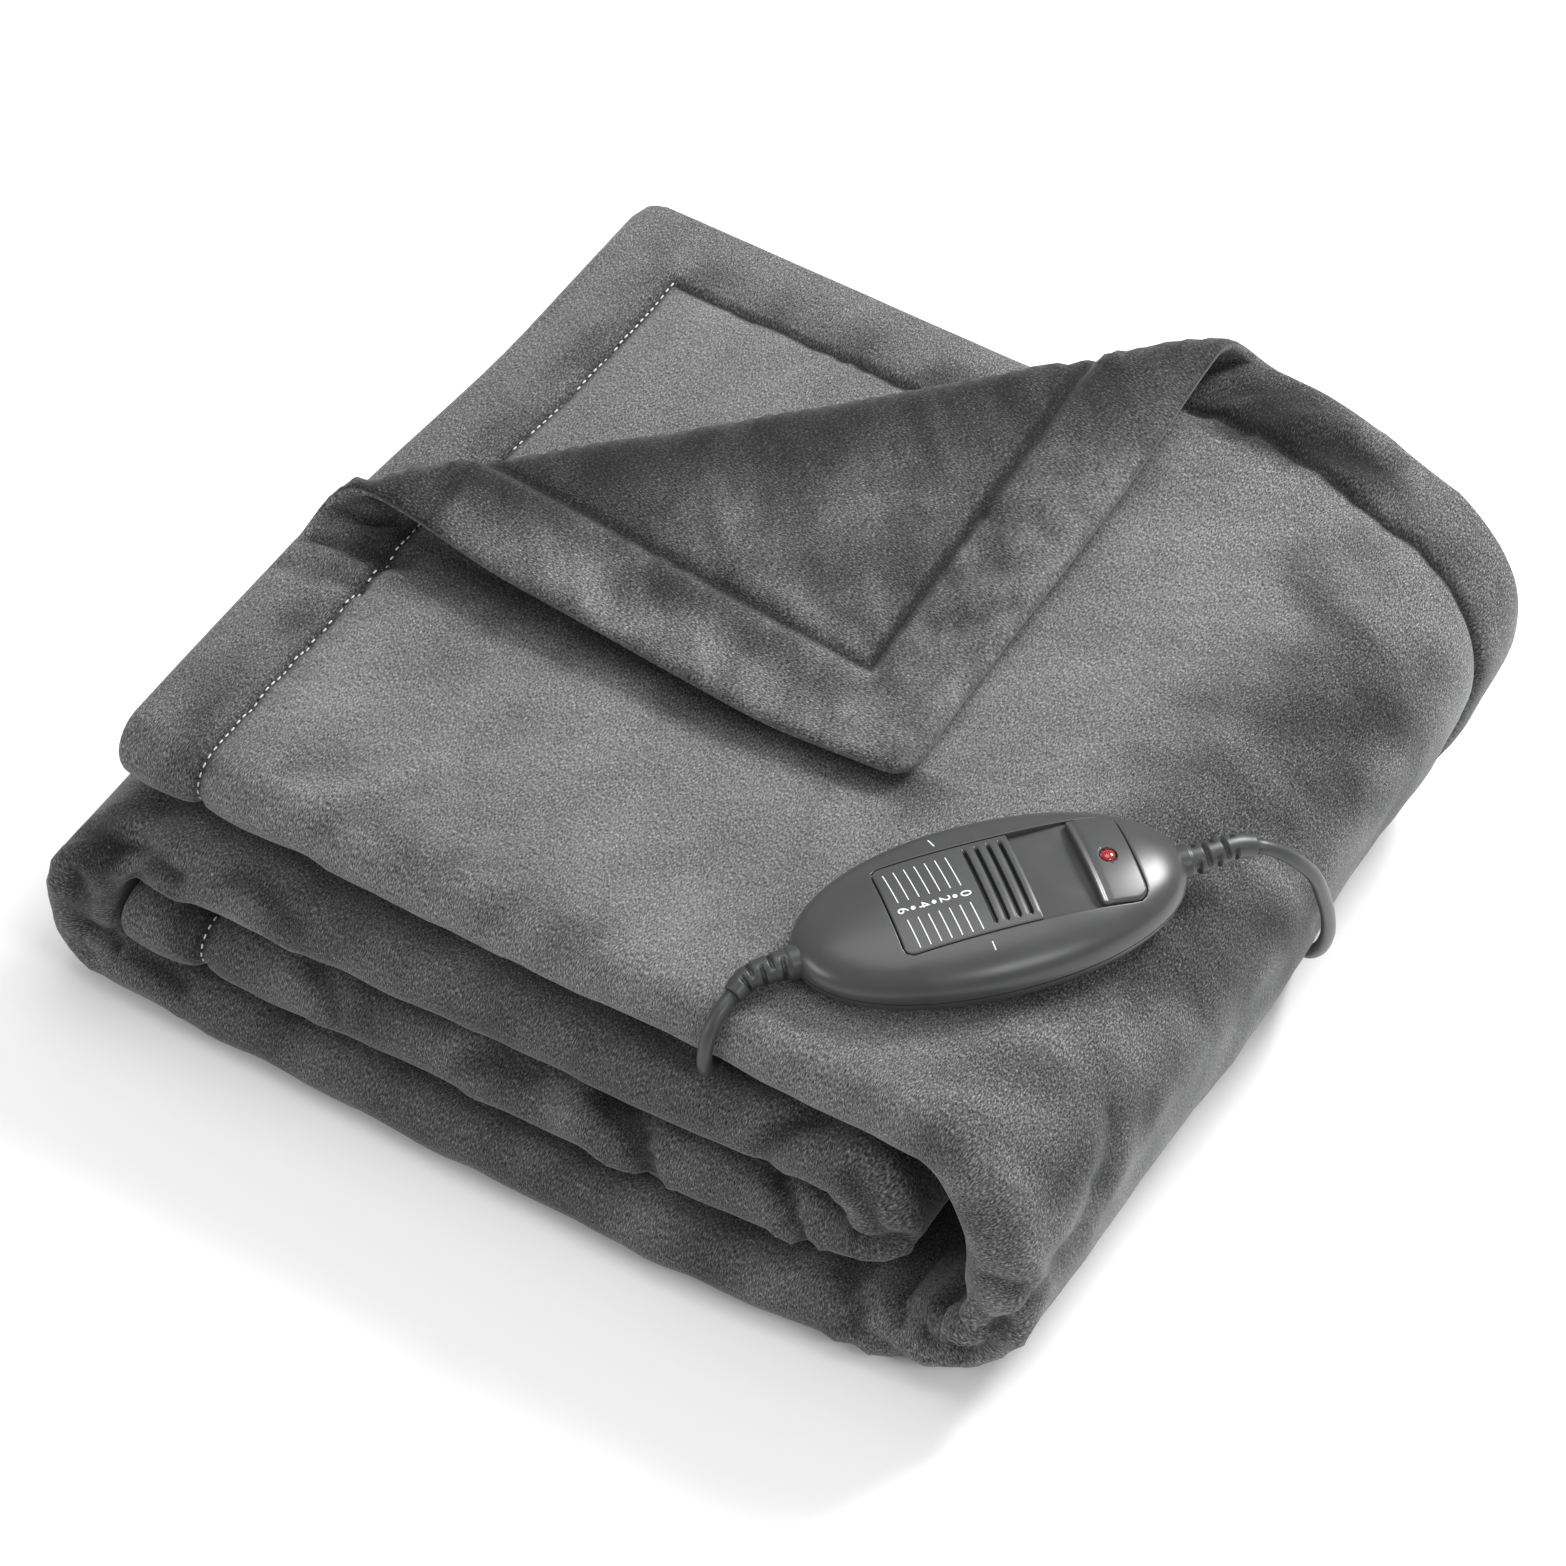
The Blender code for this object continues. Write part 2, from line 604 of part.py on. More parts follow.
def make_coil(group, finishes):
    """The turned ring that the coil's turns fill, and the band round it."""
    bm = bmesh.new()
    section = rounded_square(COIL_HALF, CORD_R)
    skin(bm, [turned(section, angle) for angle in range(0, 360, 9)], closed=True)
    bmesh.ops.recalc_face_normals(bm, faces=bm.faces)
    mesh_object("coil_mains_side", bm, group, finishes["rubber"])

    bm = bmesh.new()
    angles = np.linspace(*TIE_ANGLES, 4)
    sides = []
    for grow in (GAP, GAP + TIE):
        section = rounded_square(COIL_HALF + grow, CORD_R + grow)
        sides.append(skin(bm, [turned(section, angle) for angle in angles], closed=False))
    for inner, outer in ((sides[0][0], sides[1][0]), (sides[0][-1], sides[1][-1])):
        for n in range(len(inner)):
            m = (n + 1) % len(inner)
            bm.faces.new((inner[n], inner[m], outer[m], outer[n]))
    bmesh.ops.recalc_face_normals(bm, faces=bm.faces)
    mesh_object("coil_tie", bm, group, finishes["rubber"])


def plug_matrix():
    place = Vector((PLUG_AT[0] - ORIGIN[0], PLUG_AT[1] - ORIGIN[1], PLUG_SECTIONS[2][2] + GAP)) * MM
    return Matrix.Translation(place) @ Matrix.Rotation(math.radians(PLUG_TURN), 4, "Z")


def make_plug(group, cutters, finishes):
    bm = bmesh.new()
    rings = []
    for at, wide, high, roundness in PLUG_SECTIONS:
        ring = []
        for angle in np.linspace(0, 2 * math.pi, 32, endpoint=False):
            c, s = math.cos(angle), math.sin(angle)
            reach = (abs(c) ** roundness + abs(s) ** roundness) ** (-1 / roundness)
            ring.append((at, wide * c * reach, high * s * reach))
        rings.append(ring)
    rings = skin(bm, rings, closed=False)
    bm.faces.new(rings[0])
    bm.faces.new(rings[-1])
    bmesh.ops.recalc_face_normals(bm, faces=bm.faces)
    body = mesh_object("plug_body", bm, group, finishes["rubber"])
    body.matrix_world = plug_matrix()
    for n, side in enumerate((-PIN_APART / 2, PIN_APART / 2), 1):
        for name, radius, low, high in (
            (f"plug_pin_{n}", PIN_R, -PIN_LENGTH, PIN_IN - GAP),
            (f"pin_bore_{n}", PIN_R + GAP, -5.0, PIN_IN),
        ):
            bm = bmesh.new()
            bmesh.ops.create_cone(
                bm, cap_ends=True, segments=20, radius1=radius, radius2=radius, depth=high - low
            )
            bmesh.ops.rotate(bm, cent=(0, 0, 0), matrix=Matrix.Rotation(math.pi / 2, 3, "Y"), verts=bm.verts)
            bmesh.ops.translate(bm, vec=((low + high) / 2, side, 0), verts=bm.verts)
            if name.startswith("plug_pin"):
                tip = [e for e in bm.edges if all(v.co.x < low + 1e-3 for v in e.verts)]
                bmesh.ops.bevel(bm, geom=tip, offset=1.0, segments=3, profile=0.5, affect="EDGES")
                pin = mesh_object(name, bm, group, finishes["pin"])
                pin.matrix_world = plug_matrix()
            else:
                bore = cutter(name, bm, cutters)
                bore.matrix_world = plug_matrix()
                boolean(body, "DIFFERENCE", bore)


# ---- the part ----------------------------------------------------------------
def main():
    clear_scene()
    part = collection("heated_blanket")
    cutters = collection("cutters", hidden=True)
    finishes = {
        "plush": material("plush", (0.13, 0.13, 0.13), 0.95),
        "case": material("case", (0.045, 0.046, 0.048), 0.38),
        "slider": material("slider", (0.05, 0.051, 0.053), 0.42),
        "lamp": material("lamp", (0.35, 0.01, 0.015), 0.15),
        "rubber": material("rubber", (0.035, 0.036, 0.038), 0.5),
        "pin": material("pin", (0.75, 0.7, 0.6), 0.25, 1.0),
    }
    make_blanket(part, finishes["plush"])
    make_case(part, cutters, finishes)
    make_slider(part, cutters, finishes["slider"])
    make_leads(part, finishes)
    make_coil(part, finishes)
    make_plug(part, cutters, finishes)


main()
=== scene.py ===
"""Electric heated blanket, folded, with its slide controller, leads and plug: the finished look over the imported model.

Sizes are in millimetres, and MM turns them into metres. X runs along the front of the folded blanket, Y from its front
to its back, Z up. Points in the tables are measured from the left front corner of the blanket's top, and ORIGIN moves
them to the part's own origin.
"""

import math

import bpy
import numpy as np
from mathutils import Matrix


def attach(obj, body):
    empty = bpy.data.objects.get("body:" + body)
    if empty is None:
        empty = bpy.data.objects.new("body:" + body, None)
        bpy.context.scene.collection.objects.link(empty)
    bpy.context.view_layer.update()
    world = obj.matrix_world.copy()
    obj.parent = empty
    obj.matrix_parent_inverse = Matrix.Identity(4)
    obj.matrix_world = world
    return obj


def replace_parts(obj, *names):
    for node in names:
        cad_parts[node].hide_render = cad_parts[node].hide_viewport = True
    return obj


bl_info = {
    "name": "Folded heated blanket",
    "version": (1, 0, 0),
    "blender": (4, 5, 0),
    "location": "3D View > Sidebar > Heated blanket",
    "description": "Makes a folded heated blanket with its controller, leads and plug",
    "category": "Object",
}

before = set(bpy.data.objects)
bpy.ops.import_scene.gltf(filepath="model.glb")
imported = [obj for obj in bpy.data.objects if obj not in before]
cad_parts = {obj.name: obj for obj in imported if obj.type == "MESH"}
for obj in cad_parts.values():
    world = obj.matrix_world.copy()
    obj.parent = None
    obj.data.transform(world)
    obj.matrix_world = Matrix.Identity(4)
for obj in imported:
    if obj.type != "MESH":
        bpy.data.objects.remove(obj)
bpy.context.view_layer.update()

MM = 0.001
ORIGIN = np.array([174.8, 160.4, 0.0])

# ---- the blanket's folds, as in the part's source ----
PLY = 5.2  # thickness of the cloth
PLY_GAP = 1.6  # air between two plies of a band
BAND_GAP = 2.4  # air between two bands
PLY_PITCH = PLY + PLY_GAP
BAND = 4 * PLY + 3 * PLY_GAP
PITCH = BAND + BAND_GAP
LEVELS = [BAND / 2 + n * PITCH for n in range(4)]  # middle heights of the bands
HEIGHT = LEVELS[3] + BAND / 2
EDGE_X = 0.0  # left end of the top band
RIGHT_X = 318.0  # where the top and bottom bands end and the right wrap begins
LEFT_X = 12.8  # where the bottom band ends and the left wrap begins
INNER_X = 292.0  # where the second band turns back inside the right wrap
TAIL_X = 12.4  # far end of the third band
WRAP_R = 34.0  # corner radius of the right wrap
SMALL_R = 18.0  # and of the left one
FRONT_Y = 10.0  # axis of the fold along the front
BACK_Y = 356.0  # back hem of the uppermost ply
SECOND_Y = 319.0  # back hem of the second ply
TUCK_Y = 308.0  # where the third and fourth plies are joined at the back
# The roll's stretches and bends, from the top's left edge: name, length or radius, turn in degrees, grid steps, how far
# the cloth has come forward at its end, and how much further at its back.
LENGTH_RUNS = (
    ("top", RIGHT_X - EDGE_X, 0, 70, 2, 2),
    ("right_upper", WRAP_R, 90, 16, 16, 8),
    ("right_side", LEVELS[3] - LEVELS[0] - 2 * WRAP_R, 0, 4, 20, 12),
    ("right_lower", WRAP_R, 90, 14, 29, 20),
    ("bottom", RIGHT_X - LEFT_X, 0, 52, 26, 34),
    ("left_lower", SMALL_R, 90, 8, 28, 33),
    ("left_side", LEVELS[2] - LEVELS[0] - 2 * SMALL_R, 0, 4, 30, 32),
    ("left_upper", SMALL_R, 90, 8, 20, 31),
    ("second", INNER_X - LEFT_X, 0, 70, 9, 31),
    ("inner_fold", PITCH / 2, 180, 16, 16, 33),
    ("third", INNER_X - TAIL_X, 0, 70, 23, 36),
)
# And the same across it, from the back of the top.
WIDTH_RUNS = (
    ("first_ply", BACK_Y - FRONT_Y, 0, 64),
    ("front_fold", 1.5 * PLY_PITCH, 180, 16),
    ("fourth_ply", TUCK_Y - FRONT_Y, 0, 8),
    ("back_tuck", 0.5 * PLY_PITCH, 180, 4),
    ("third_ply", TUCK_Y - FRONT_Y, 0, 8),
    ("front_tuck", 0.5 * PLY_PITCH, -180, 4),
    ("second_ply", SECOND_Y - FRONT_Y, 0, 26),
)
FLAP_LINE = 103.0  # the corner is turned back over the line y = x + FLAP_LINE
FLAP_R = 9.0  # radius of its bend
FLAP_DROP = 9.0  # how far its tip sinks towards the ply below
FLAP_REACH = 1.075  # how much further it reaches than the flat sheet would
FLAP_BULGE = 5.5  # how far its front hem stands out, as it is puffed up
CREASE_DEPTH = 1.35  # times the depths in the table
FLAP_LINE_ST = BACK_Y - FLAP_LINE - EDGE_X  # the same line on the flat sheet: s + t
# Low mounds of the top: middle (x, y), reach in x and y, height.
MOUNDS = (
    (60, 40, 70, 60, 1.5), (170, 60, 80, 50, -1.5), (150, 250, 120, 80, 1.5), (250, 330, 50, 40, 5),
)
TILT = (0.3, 18.0)  # the right side's back stands out by this much a millimetre of height, and draws in by the second
INSET = 7.0  # how far the left side draws in at the back
CHEEK = 6.0  # how far the left wrap draws in at its top
CURL = 19.0  # how far the back edge comes forward round the right wrap
BOW = 9.0  # how far the lower front edge draws back at its right
# Where the blanket's lead goes in between the top band and the next: middle, reach, and how far each is pushed.
ENTRY = (234.0, 16.0, LEVELS[3] - PITCH / 2)
ENTRY_REACH = (45.0, 80.0, 30.0)
ENTRY_OPENS = 2.1

HEM = 33.0  # width of the sewn hem
SEAM_WIDTH = 2.6  # of the groove along its seam
STITCH = 3.4  # from one stitch to the next
CORNER_R = 10.0  # of the sheet's own corners
# Creases in the pile: from (s, t) to (s, t) on the flat sheet, half width, depth, and the side that shows them; the
# depth also paints shade into the pile in them.
CREASES = (
    (1237, 378, 1215, 361, 6, 4.4, 1), (1221, 372, 1214, 356, 3.5, 3, 1), (1171, 377, 1155, 357, 3.2, 3.6, 1),
    (1072, 364, 1087, 344, 4.5, 2.2, 1), (1133, 367, 1126, 351, 3.5, 3, 1), (1120, 360, 1106, 356, 5, 3.2, 1),
    (1290, 366, 1262, 376, 5, 1.6, 1), (1352, 376, 1338, 364, 4, 1.6, 1), (462, 379, 451, 363, 4, 2.6, 1),
    (451, 384, 437, 371, 3.2, 2.2, 1), (444, 365, 436, 350, 3.5, 2.2, 1), (440, 402, 434, 388, 3.5, 3.2, 1),
    (434, 388, 384, 371, 3.5, 3.2, 1), (415, 376, 413, 360, 3.2, 2.4, 1), (400, 371, 392, 354, 3.2, 2.4, 1),
    (379, 343, 386, 358, 3.5, 2.2, 1), (387, 358, 404, 359, 3, 2, 1), (404, 359, 426, 368, 3.2, 2.2, 1),
    (367, 361, 375, 350, 3.2, 2, 1), (354, 293, 366, 307, 5.5, 1.2, 1), (366, 307, 377, 332, 5.5, 1.3, 1),
    (355, 334, 365, 317, 5, 0.9, 1), (363, 270, 357, 292, 6, 0.9, 1), (340, 262, 352, 232, 7, 1.3, 1),
    (806, 346, 815, 357, 3.5, 2.6, 1), (815, 357, 847, 357, 3.2, 2.4, 1), (802, 361, 776, 370, 3.8, 2.4, 1),
    (776, 370, 752, 372, 3.2, 2.2, 1), (820, 368, 835, 363, 3, 2, 1), (791, 359, 759, 366, 3.5, 2, 1),
    (745, 371, 722, 369, 3.5, 2, 1), (864, 351, 893, 356, 4.5, 1.5, 1), (84, 350, 128, 345, 7, 1.3, 1),
    (60, 338, 102, 326, 8, 0.9, 1), (150, 352, 186, 344, 7, 1.1, 1), (233, 34, 254, 4, 4, 2, 1),
    (248, 34, 261, 10, 3.5, 2, 1), (266, 33, 295, 8, 4.5, 2.2, 1), (228, 30, 232, 6, 3, 1.4, 1),
    (57, 24, 82, 4, 4, 1.2, -1), (80, 29, 103, 8, 4.5, 1, -1), (108, 30, 116, 14, 4.5, 1.2, -1),
    (26, 226, 4, 236, 3.4, 2.2, 1), (40, 241, 6, 250, 3.6, 2.2, 1), (34, 257, 4, 266, 3.4, 1.6, 1),
    (27, 209, 2, 216, 3.2, 1.6, -1), (24, 186, 1, 191, 3.2, 1.4, -1),
)
# Darker or lighter patches, most of them pile that lies the other way, a few painted shade in folds, such as the one
# at (812, 358) in the wedge fold: middle (s, t), reach in s and t, turn, shade, side.
PATCHES = (
    (304, 76, 16, 24, -20, -0.16, 1), (322, 104, 22, 38, -15, -0.15, 1), (338, 124, 16, 48, 5, -0.11, 1),
    (305, 140, 14, 18, 30, -0.12, 1), (314, 176, 20, 18, 0, -0.14, 1), (336, 206, 20, 26, 10, -0.13, 1),
    (330, 232, 18, 16, 0, -0.13, 1), (362, 210, 14, 34, 0, -0.10, 1), (356, 300, 16, 24, 0, -0.10, 1),
    (252, 19, 40, 16, 0, -0.34, 1), (270, 24, 36, 9, -6, -0.24, 1), (186, 44, 18, 12, 0, -0.06, 1),
    (22, 240, 14, 24, 0, -0.12, 1), (18, 320, 16, 40, 0, -0.04, 1), (52, 145, 16, 40, -42, -0.10, -1),
    (48, 110, 14, 10, 0, 0.07, -1), (88, 100, 12, 30, -45, -0.08, -1), (64, 62, 14, 20, 20, -0.08, -1),
    (90, 78, 20, 16, 0, 0.07, -1), (38, 62, 6, 34, -4, 0.14, -1), (24, 100, 7, 70, 0, -0.09, -1),
    (10, 100, 7, 70, 0, 0.09, -1), (160, 18, 40, 14, 0, -0.10, -1), (82, 14, 20, 10, 0, -0.07, -1),
    (1345, 364, 30, 14, 0, -0.08, 1), (1270, 372, 24, 10, 0, 0.05, 1), (890, 352, 24, 12, 0, -0.09, 1),
    (1000, 360, 60, 16, 0, -0.06, 1), (812, 358, 9, 15, 0, -0.26, 1), (560, 374, 60, 16, 0, -0.05, 1),
    (690, 372, 40, 14, 0, -0.05, 1),
)

# ---- the controller ----
CASE_AT = (294.8, 79.0)  # middle of the case
CASE_TURN = 50.5  # degrees from +X
CASE_SIZE = (67.8, 34.3)  # half length and half width
CASE_UP = 15.5  # height of the cover over the parting line
CASE_DOWN = 11.0  # depth of the base under it
CASE_FOOT = 7.0  # the base is cut flat this far below the parting line
CASE_PLAN = 2.08  # roundness of the outline, 2 is an ellipse
CASE_SECTION = 2.6  # and of the section
RECESS_FLOOR = 11.6  # over the parting line
OPENING = (-35.7, 49.4, 19.3)  # of the recess and the lamp block together: ends, half width
OPENING_CORNERS = (3.4, 5.6)  # radii at its low and high end
LIP = 0.45  # radius of the opening's round edge
PARTING, PARTING_INSIDE = 0.25, 0.2  # half the gap between the case's halves, at the rim and further in
SLIDER = (-35.2, 11.9, 18.9)  # ends along the case, half width
LAMP_BLOCK = (32.3, 49.0, 18.8)  # and of the raised block that holds the lamp
LAMP_AT = (40.7, -0.4)
LAMP_R = 2.6
FIGURES_W = -2.1  # the figures' line across the slider
GROOVES = (-3.6, 4.1, 16.0)  # the first finger groove, the next one's distance, and their half length
REST_Z = HEIGHT + 1.0 + CASE_FOOT  # height of the parting line

# ---- boots, cords, coil, plug ----
BOOT_R = 5.9  # at the case
CORD_R = 2.6
COIL_R = 28.0  # middle of the coil's turns
COIL_AT = (262.0, 353.0)
COIL_Z = 3 * CORD_R + 1.5
# The coil's nine lanes in their order: turns out from the middle one, and turns up from it.
COIL_LANES = np.array([(1, -1), (0, -1), (-1, -1), (-1, 0), (-1, 1), (0, 1), (0, 0), (1, 0), (1, 1)], float)
COIL_FROM, COIL_TO = 0.125, 8.27  # turns from the coil's +X side
CROSSING = 0.28  # share of a turn in which the cord changes lanes
# Places the cords pass: from the left boot in between the bands, from the right boot to the coil, and on to the plug.
LEAD_ROUTE = (
    (240.8, 7.5, 114.4), (240.2, 0.6, 112.4), (239.8, -5.4, 107.2), (239.8, -8.6, 98.4), (239.4, -7.4, 91),
    (238.2, -3.2, 86.2), (236.4, 4, 83.4), (233.6, 14, 82.8), (230.6, 26, 82.8), (228, 36, 82.8),
)
MAINS_ROUTE = (
    (353, 152, 115.2), (358, 156.2, 112.4), (364.2, 161.5, 105.5), (368.6, 167.5, 94.5), (369.8, 173.5, 79),
    (369.4, 180, 62), (367, 186.5, 44), (361.6, 192.5, 27), (353, 200.5, 12.5), (344, 213, 4.4),
    (339.5, 230, 2.7), (338.5, 252, 2.7), (336, 275, 2.7), (331.5, 298, 2.7), (325, 320, 2.7),
    (315.5, 342, 3.2), (299.3, 362.2, 4.1),
)
PLUG_ROUTE = ((237.6, 383.4, 13.4), (226.5, 378.2, 10.5), (215, 374.1, 8.2), (206.5, 372.3, 7.1))

# ---- camera ----
AZIMUTH, ELEVATION = 32.0, 48.5  # degrees
LENS = 150.0
DISTANCE = 2.33  # metres
TARGET = (np.array([152.46, 179.35, 0.0]) - ORIGIN) * MM


# ---- arrays ----
def smooth(x):
    """3x^2 - 2x^3 between 0 and 1."""
    x = np.clip(x, 0.0, 1.0)
    return x * x * (3 - 2 * x)


def bell(x):
    """e to the minus x squared."""
    return np.exp(-(x**2))


def soft_noise(u, v, size, seed, count=28):
    """A sum of cosine waves in seeded directions with lengths from half of size to twice it, about -1 to 1."""
    rng = np.random.default_rng(seed)
    total = np.zeros(np.broadcast(u, v).shape)
    for _ in range(count):
        length = size * 2.0 ** rng.uniform(-1.0, 1.0)
        angle, phase = rng.uniform(0, 2 * math.pi, 2)
        k = 2 * math.pi / length
        total += np.cos(k * (u * math.cos(angle) + v * math.sin(angle)) + phase)
    return total / math.sqrt(count / 2) / 1.6


def unit(v):
    return v / np.maximum(np.linalg.norm(v, axis=-1, keepdims=True), 1e-12)


def round_turn(count):
    """Evenly spaced angles round a full turn."""
    return np.linspace(0, 2 * math.pi, count, endpoint=False)


def lengths_along(path):
    """The length done at each point of a path."""
    return np.concatenate([[0], np.cumsum(np.linalg.norm(np.diff(path, axis=0), axis=1))])


def ring_index(rows, cols, first=0):
    """Vertex numbers of rings of points, each closed by its first one."""
    index = first + np.arange(rows * cols).reshape(rows, cols)
    return np.concatenate([index, index[:, :1]], 1)


def grid_faces(index):
    """Quads between neighbouring entries of a 2D array of vertex numbers."""
    a, b, c, d = index[:-1, :-1], index[1:, :-1], index[1:, 1:], index[:-1, 1:]
    return np.stack([a, b, c, d], -1).reshape(-1, 4)


def make_mesh(name, points, faces, finish, smooth_shade=True, sharp=None):
    """A new object from points in the part's frame, in millimetres, and a list or array of faces."""
    data = bpy.data.meshes.new(name)
    data.from_pydata((np.asarray(points) * MM).tolist(), [], [list(map(int, f)) for f in faces])
    data.validate()
    if smooth_shade:
        data.shade_smooth()
    if sharp:
        data.set_sharp_from_angle(angle=math.radians(sharp))
    data.materials.append(finish)
    return add_object(name, data)


def add_object(name, data):
    obj = bpy.data.objects.new(name, data)
    bpy.context.scene.collection.objects.link(obj)
    return obj


def add_attribute(obj, name, values):
    """A number, or a vector, for each vertex."""
    kind, field = ("FLOAT", "value") if values.ndim == 1 else ("FLOAT_VECTOR", "vector")
    made = obj.data.attributes.new(name, kind, "POINT")
    made.data.foreach_set(field, np.ascontiguousarray(values, np.float32).ravel())


# ---- the cloth ----
def run_line(runs, start, value):
    """The line that the runs make, at each value of its length: straight stretches and arcs, one after another."""
    place = np.zeros((len(value), 2))
    heading = np.zeros(len(value))
    at = np.array(start, float)
    angle = 0.0
    done = 0.0
    for _, size, turn, *_ in runs:
        sweep = math.radians(turn)
        length = size * abs(sweep) if turn else size
        here = value >= done - 1e-3
        part = value[here] - done
        if turn:
            side = math.copysign(size, turn)
            centre = at + side * np.array([math.sin(angle), -math.cos(angle)])
            now = angle - part / side
            place[here] = centre - side * np.stack([np.sin(now), -np.cos(now)], 1)
            heading[here] = now
            angle -= sweep
            at = centre - side * np.array([math.sin(angle), -math.cos(angle)])
        else:
            step = np.array([math.cos(angle), math.sin(angle)])
            place[here] = at + part[:, None] * step
            heading[here] = angle
            at = at + length * step
        done += length
    return place, heading


def ends(runs):
    """The length done at the start and at each run's end."""
    lengths = [size * abs(math.radians(turn)) if turn else size for _, size, turn, *_ in runs]
    return np.cumsum([0.0, *lengths])


S_ENDS = ends(LENGTH_RUNS)
T_ENDS = ends(WIDTH_RUNS)
S_MAX = S_ENDS[-1]
T_MAX = T_ENDS[-1]


def stations(runs, marks):
    """Grid lines along the runs, with more near each end of the sheet and at the hem's seam."""
    lines = [np.linspace(a, b, run[3] + 1) for a, b, run in zip(marks, marks[1:], runs)]
    last = marks[-1]
    rim = np.array([0.0, 0.15, 0.6, 1.3, 2.6, HEM - 3.4, HEM - 1.7, HEM, HEM + 1.7, HEM + 3.4])
    extra = np.concatenate([rim, last - rim])
    plain = np.concatenate(lines)
    clear = np.abs(plain[:, None] - extra[None, :]).min(1) > 1.6
    return np.unique(np.round(np.concatenate([plain[clear], extra]), 4))


def run_mask(value, marks, runs, first, last=None):
    """1 from the first to the last named run, and 0 elsewhere."""
    names = [run[0] for run in runs]
    low, high = marks[names.index(first)], marks[names.index(last or first) + 1]
    return (value >= low) & (value <= high)


def edges(s, t):
    """Distances from the sheet's nearer end along s and along t."""
    return np.minimum(s, S_MAX - s), np.minimum(t, T_MAX - t)


def past_fold(s, t):
    """How far a place lies past the line over which the corner is turned back."""
    return (FLAP_LINE_ST - s - t) / math.sqrt(2)


def folded(s, t):
    """The flat sheet's points (s, t) carried round the width's folds, round the roll, and over the turned corner."""
    across, _ = run_line(WIDTH_RUNS, (0.0, 0.0), t)
    y = BACK_Y - across[:, 0]
    lean = np.interp(s, S_ENDS, [0.0] + [run[4] for run in LENGTH_RUNS])
    short = np.interp(s, S_ENDS, [0.0] + [run[5] for run in LENGTH_RUNS])
    y = y - lean - short * smooth((y - 110.0) / 330.0)
    offset = 1.5 * PLY_PITCH + across[:, 1]
    past = past_fold(s, t)
    bend = math.pi * FLAP_R
    turn = np.clip(past, 0, bend) / FLAP_R
    back = FLAP_REACH * np.clip(past - bend, 0, None)
    moved = np.where(past > 0, FLAP_R * np.sin(turn) - back - past, 0.0)
    y = y + moved / math.sqrt(2) - FLAP_BULGE * smooth((HEM + 6.0 - s) / HEM) * smooth(back / 45.0) * smooth(t / 60.0)
    rise = FLAP_R * (1 - np.cos(turn)) - FLAP_DROP * smooth(back / 150.0)
    along, heading = run_line(LENGTH_RUNS, (EDGE_X, LEVELS[3]), s)
    x = along[:, 0] - np.sin(heading) * offset - moved / math.sqrt(2)
    z = along[:, 1] + np.cos(heading) * offset + rise
    return x, y, z


def settled(x, y, z):
    """The sides draw in at the back, the front edge bows, the top has low mounds, and two bands part round the lead."""
    x = x + smooth((y - 150.0) / 130.0) * smooth((x - 200.0) / 120.0) * (TILT[0] * z - TILT[1])
    x = x + CHEEK * smooth((z - 40.0) / 32.0) * smooth((30.0 - x) / 20.0) * smooth((84.0 - z) / 4.0)
    x = x + INSET * smooth((y - 120.0) / 120.0) * smooth((190.0 - x) / 190.0)
    y = y + BOW * smooth((x - 230.0) / 110.0) * smooth((70.0 - y) / 80.0) * smooth((72.0 - z) / 50.0)
    y = y - CURL * smooth((x - 262.0) / 100.0) * np.clip((y - 60.0) / 296.0, 0, 1.1)
    lift = np.zeros(len(x))
    for mx, my, rx, ry, height in MOUNDS:
        lift += height * bell(np.hypot((x - mx) / rx, (y - my) / ry))
    near = np.exp(-(((x - CASE_AT[0]) / 75.0) ** 4) - ((y - CASE_AT[1]) / 85.0) ** 4)
    ex, ey, ez = ENTRY
    parting = np.exp(-(((x - ex) / ENTRY_REACH[0]) ** 4) - ((y - ey) / ENTRY_REACH[1]) ** 4)
    parting *= 1 - smooth(np.abs(z - ez) / ENTRY_REACH[2])
    z = z + lift * (1 - near) * smooth((z - 14.0) / 80.0) + ENTRY_OPENS * parting * np.sign(z - ez)
    return np.stack([x, y, z], -1)


def middle(s, t):
    """The middle surface of the cloth at the flat points (s, t), two arrays of one shape."""
    shape = s.shape
    return settled(*folded(s.ravel(), t.ravel())).reshape(*shape, 3) - ORIGIN


def cloth_normal(s, t, reach=0.5):
    """The face side's direction: the slopes of the middle surface along t and along s, crossed."""
    s0, s1 = np.clip(s - reach, 0, S_MAX), np.clip(s + reach, 0, S_MAX)
    t0, t1 = np.clip(t - reach, 0, T_MAX), np.clip(t + reach, 0, T_MAX)
    along = middle(s1, t) - middle(s0, t)
    across = middle(s, t1) - middle(s, t0)
    return unit(np.cross(across, along))


def round_corners(s, t):
    """The flat points with the sheet's corners rounded: each corner's square is drawn in to a quarter circle."""
    p, q = (np.clip(1 - edge / CORNER_R, 0, 1) for edge in edges(s, t))
    draw = CORNER_R * (1 - np.maximum(p, q) / np.maximum(np.hypot(p, q), 1e-9))
    return s + np.where(s < S_MAX / 2, 1, -1) * draw * p, t + np.where(t < T_MAX / 2, 1, -1) * draw * q


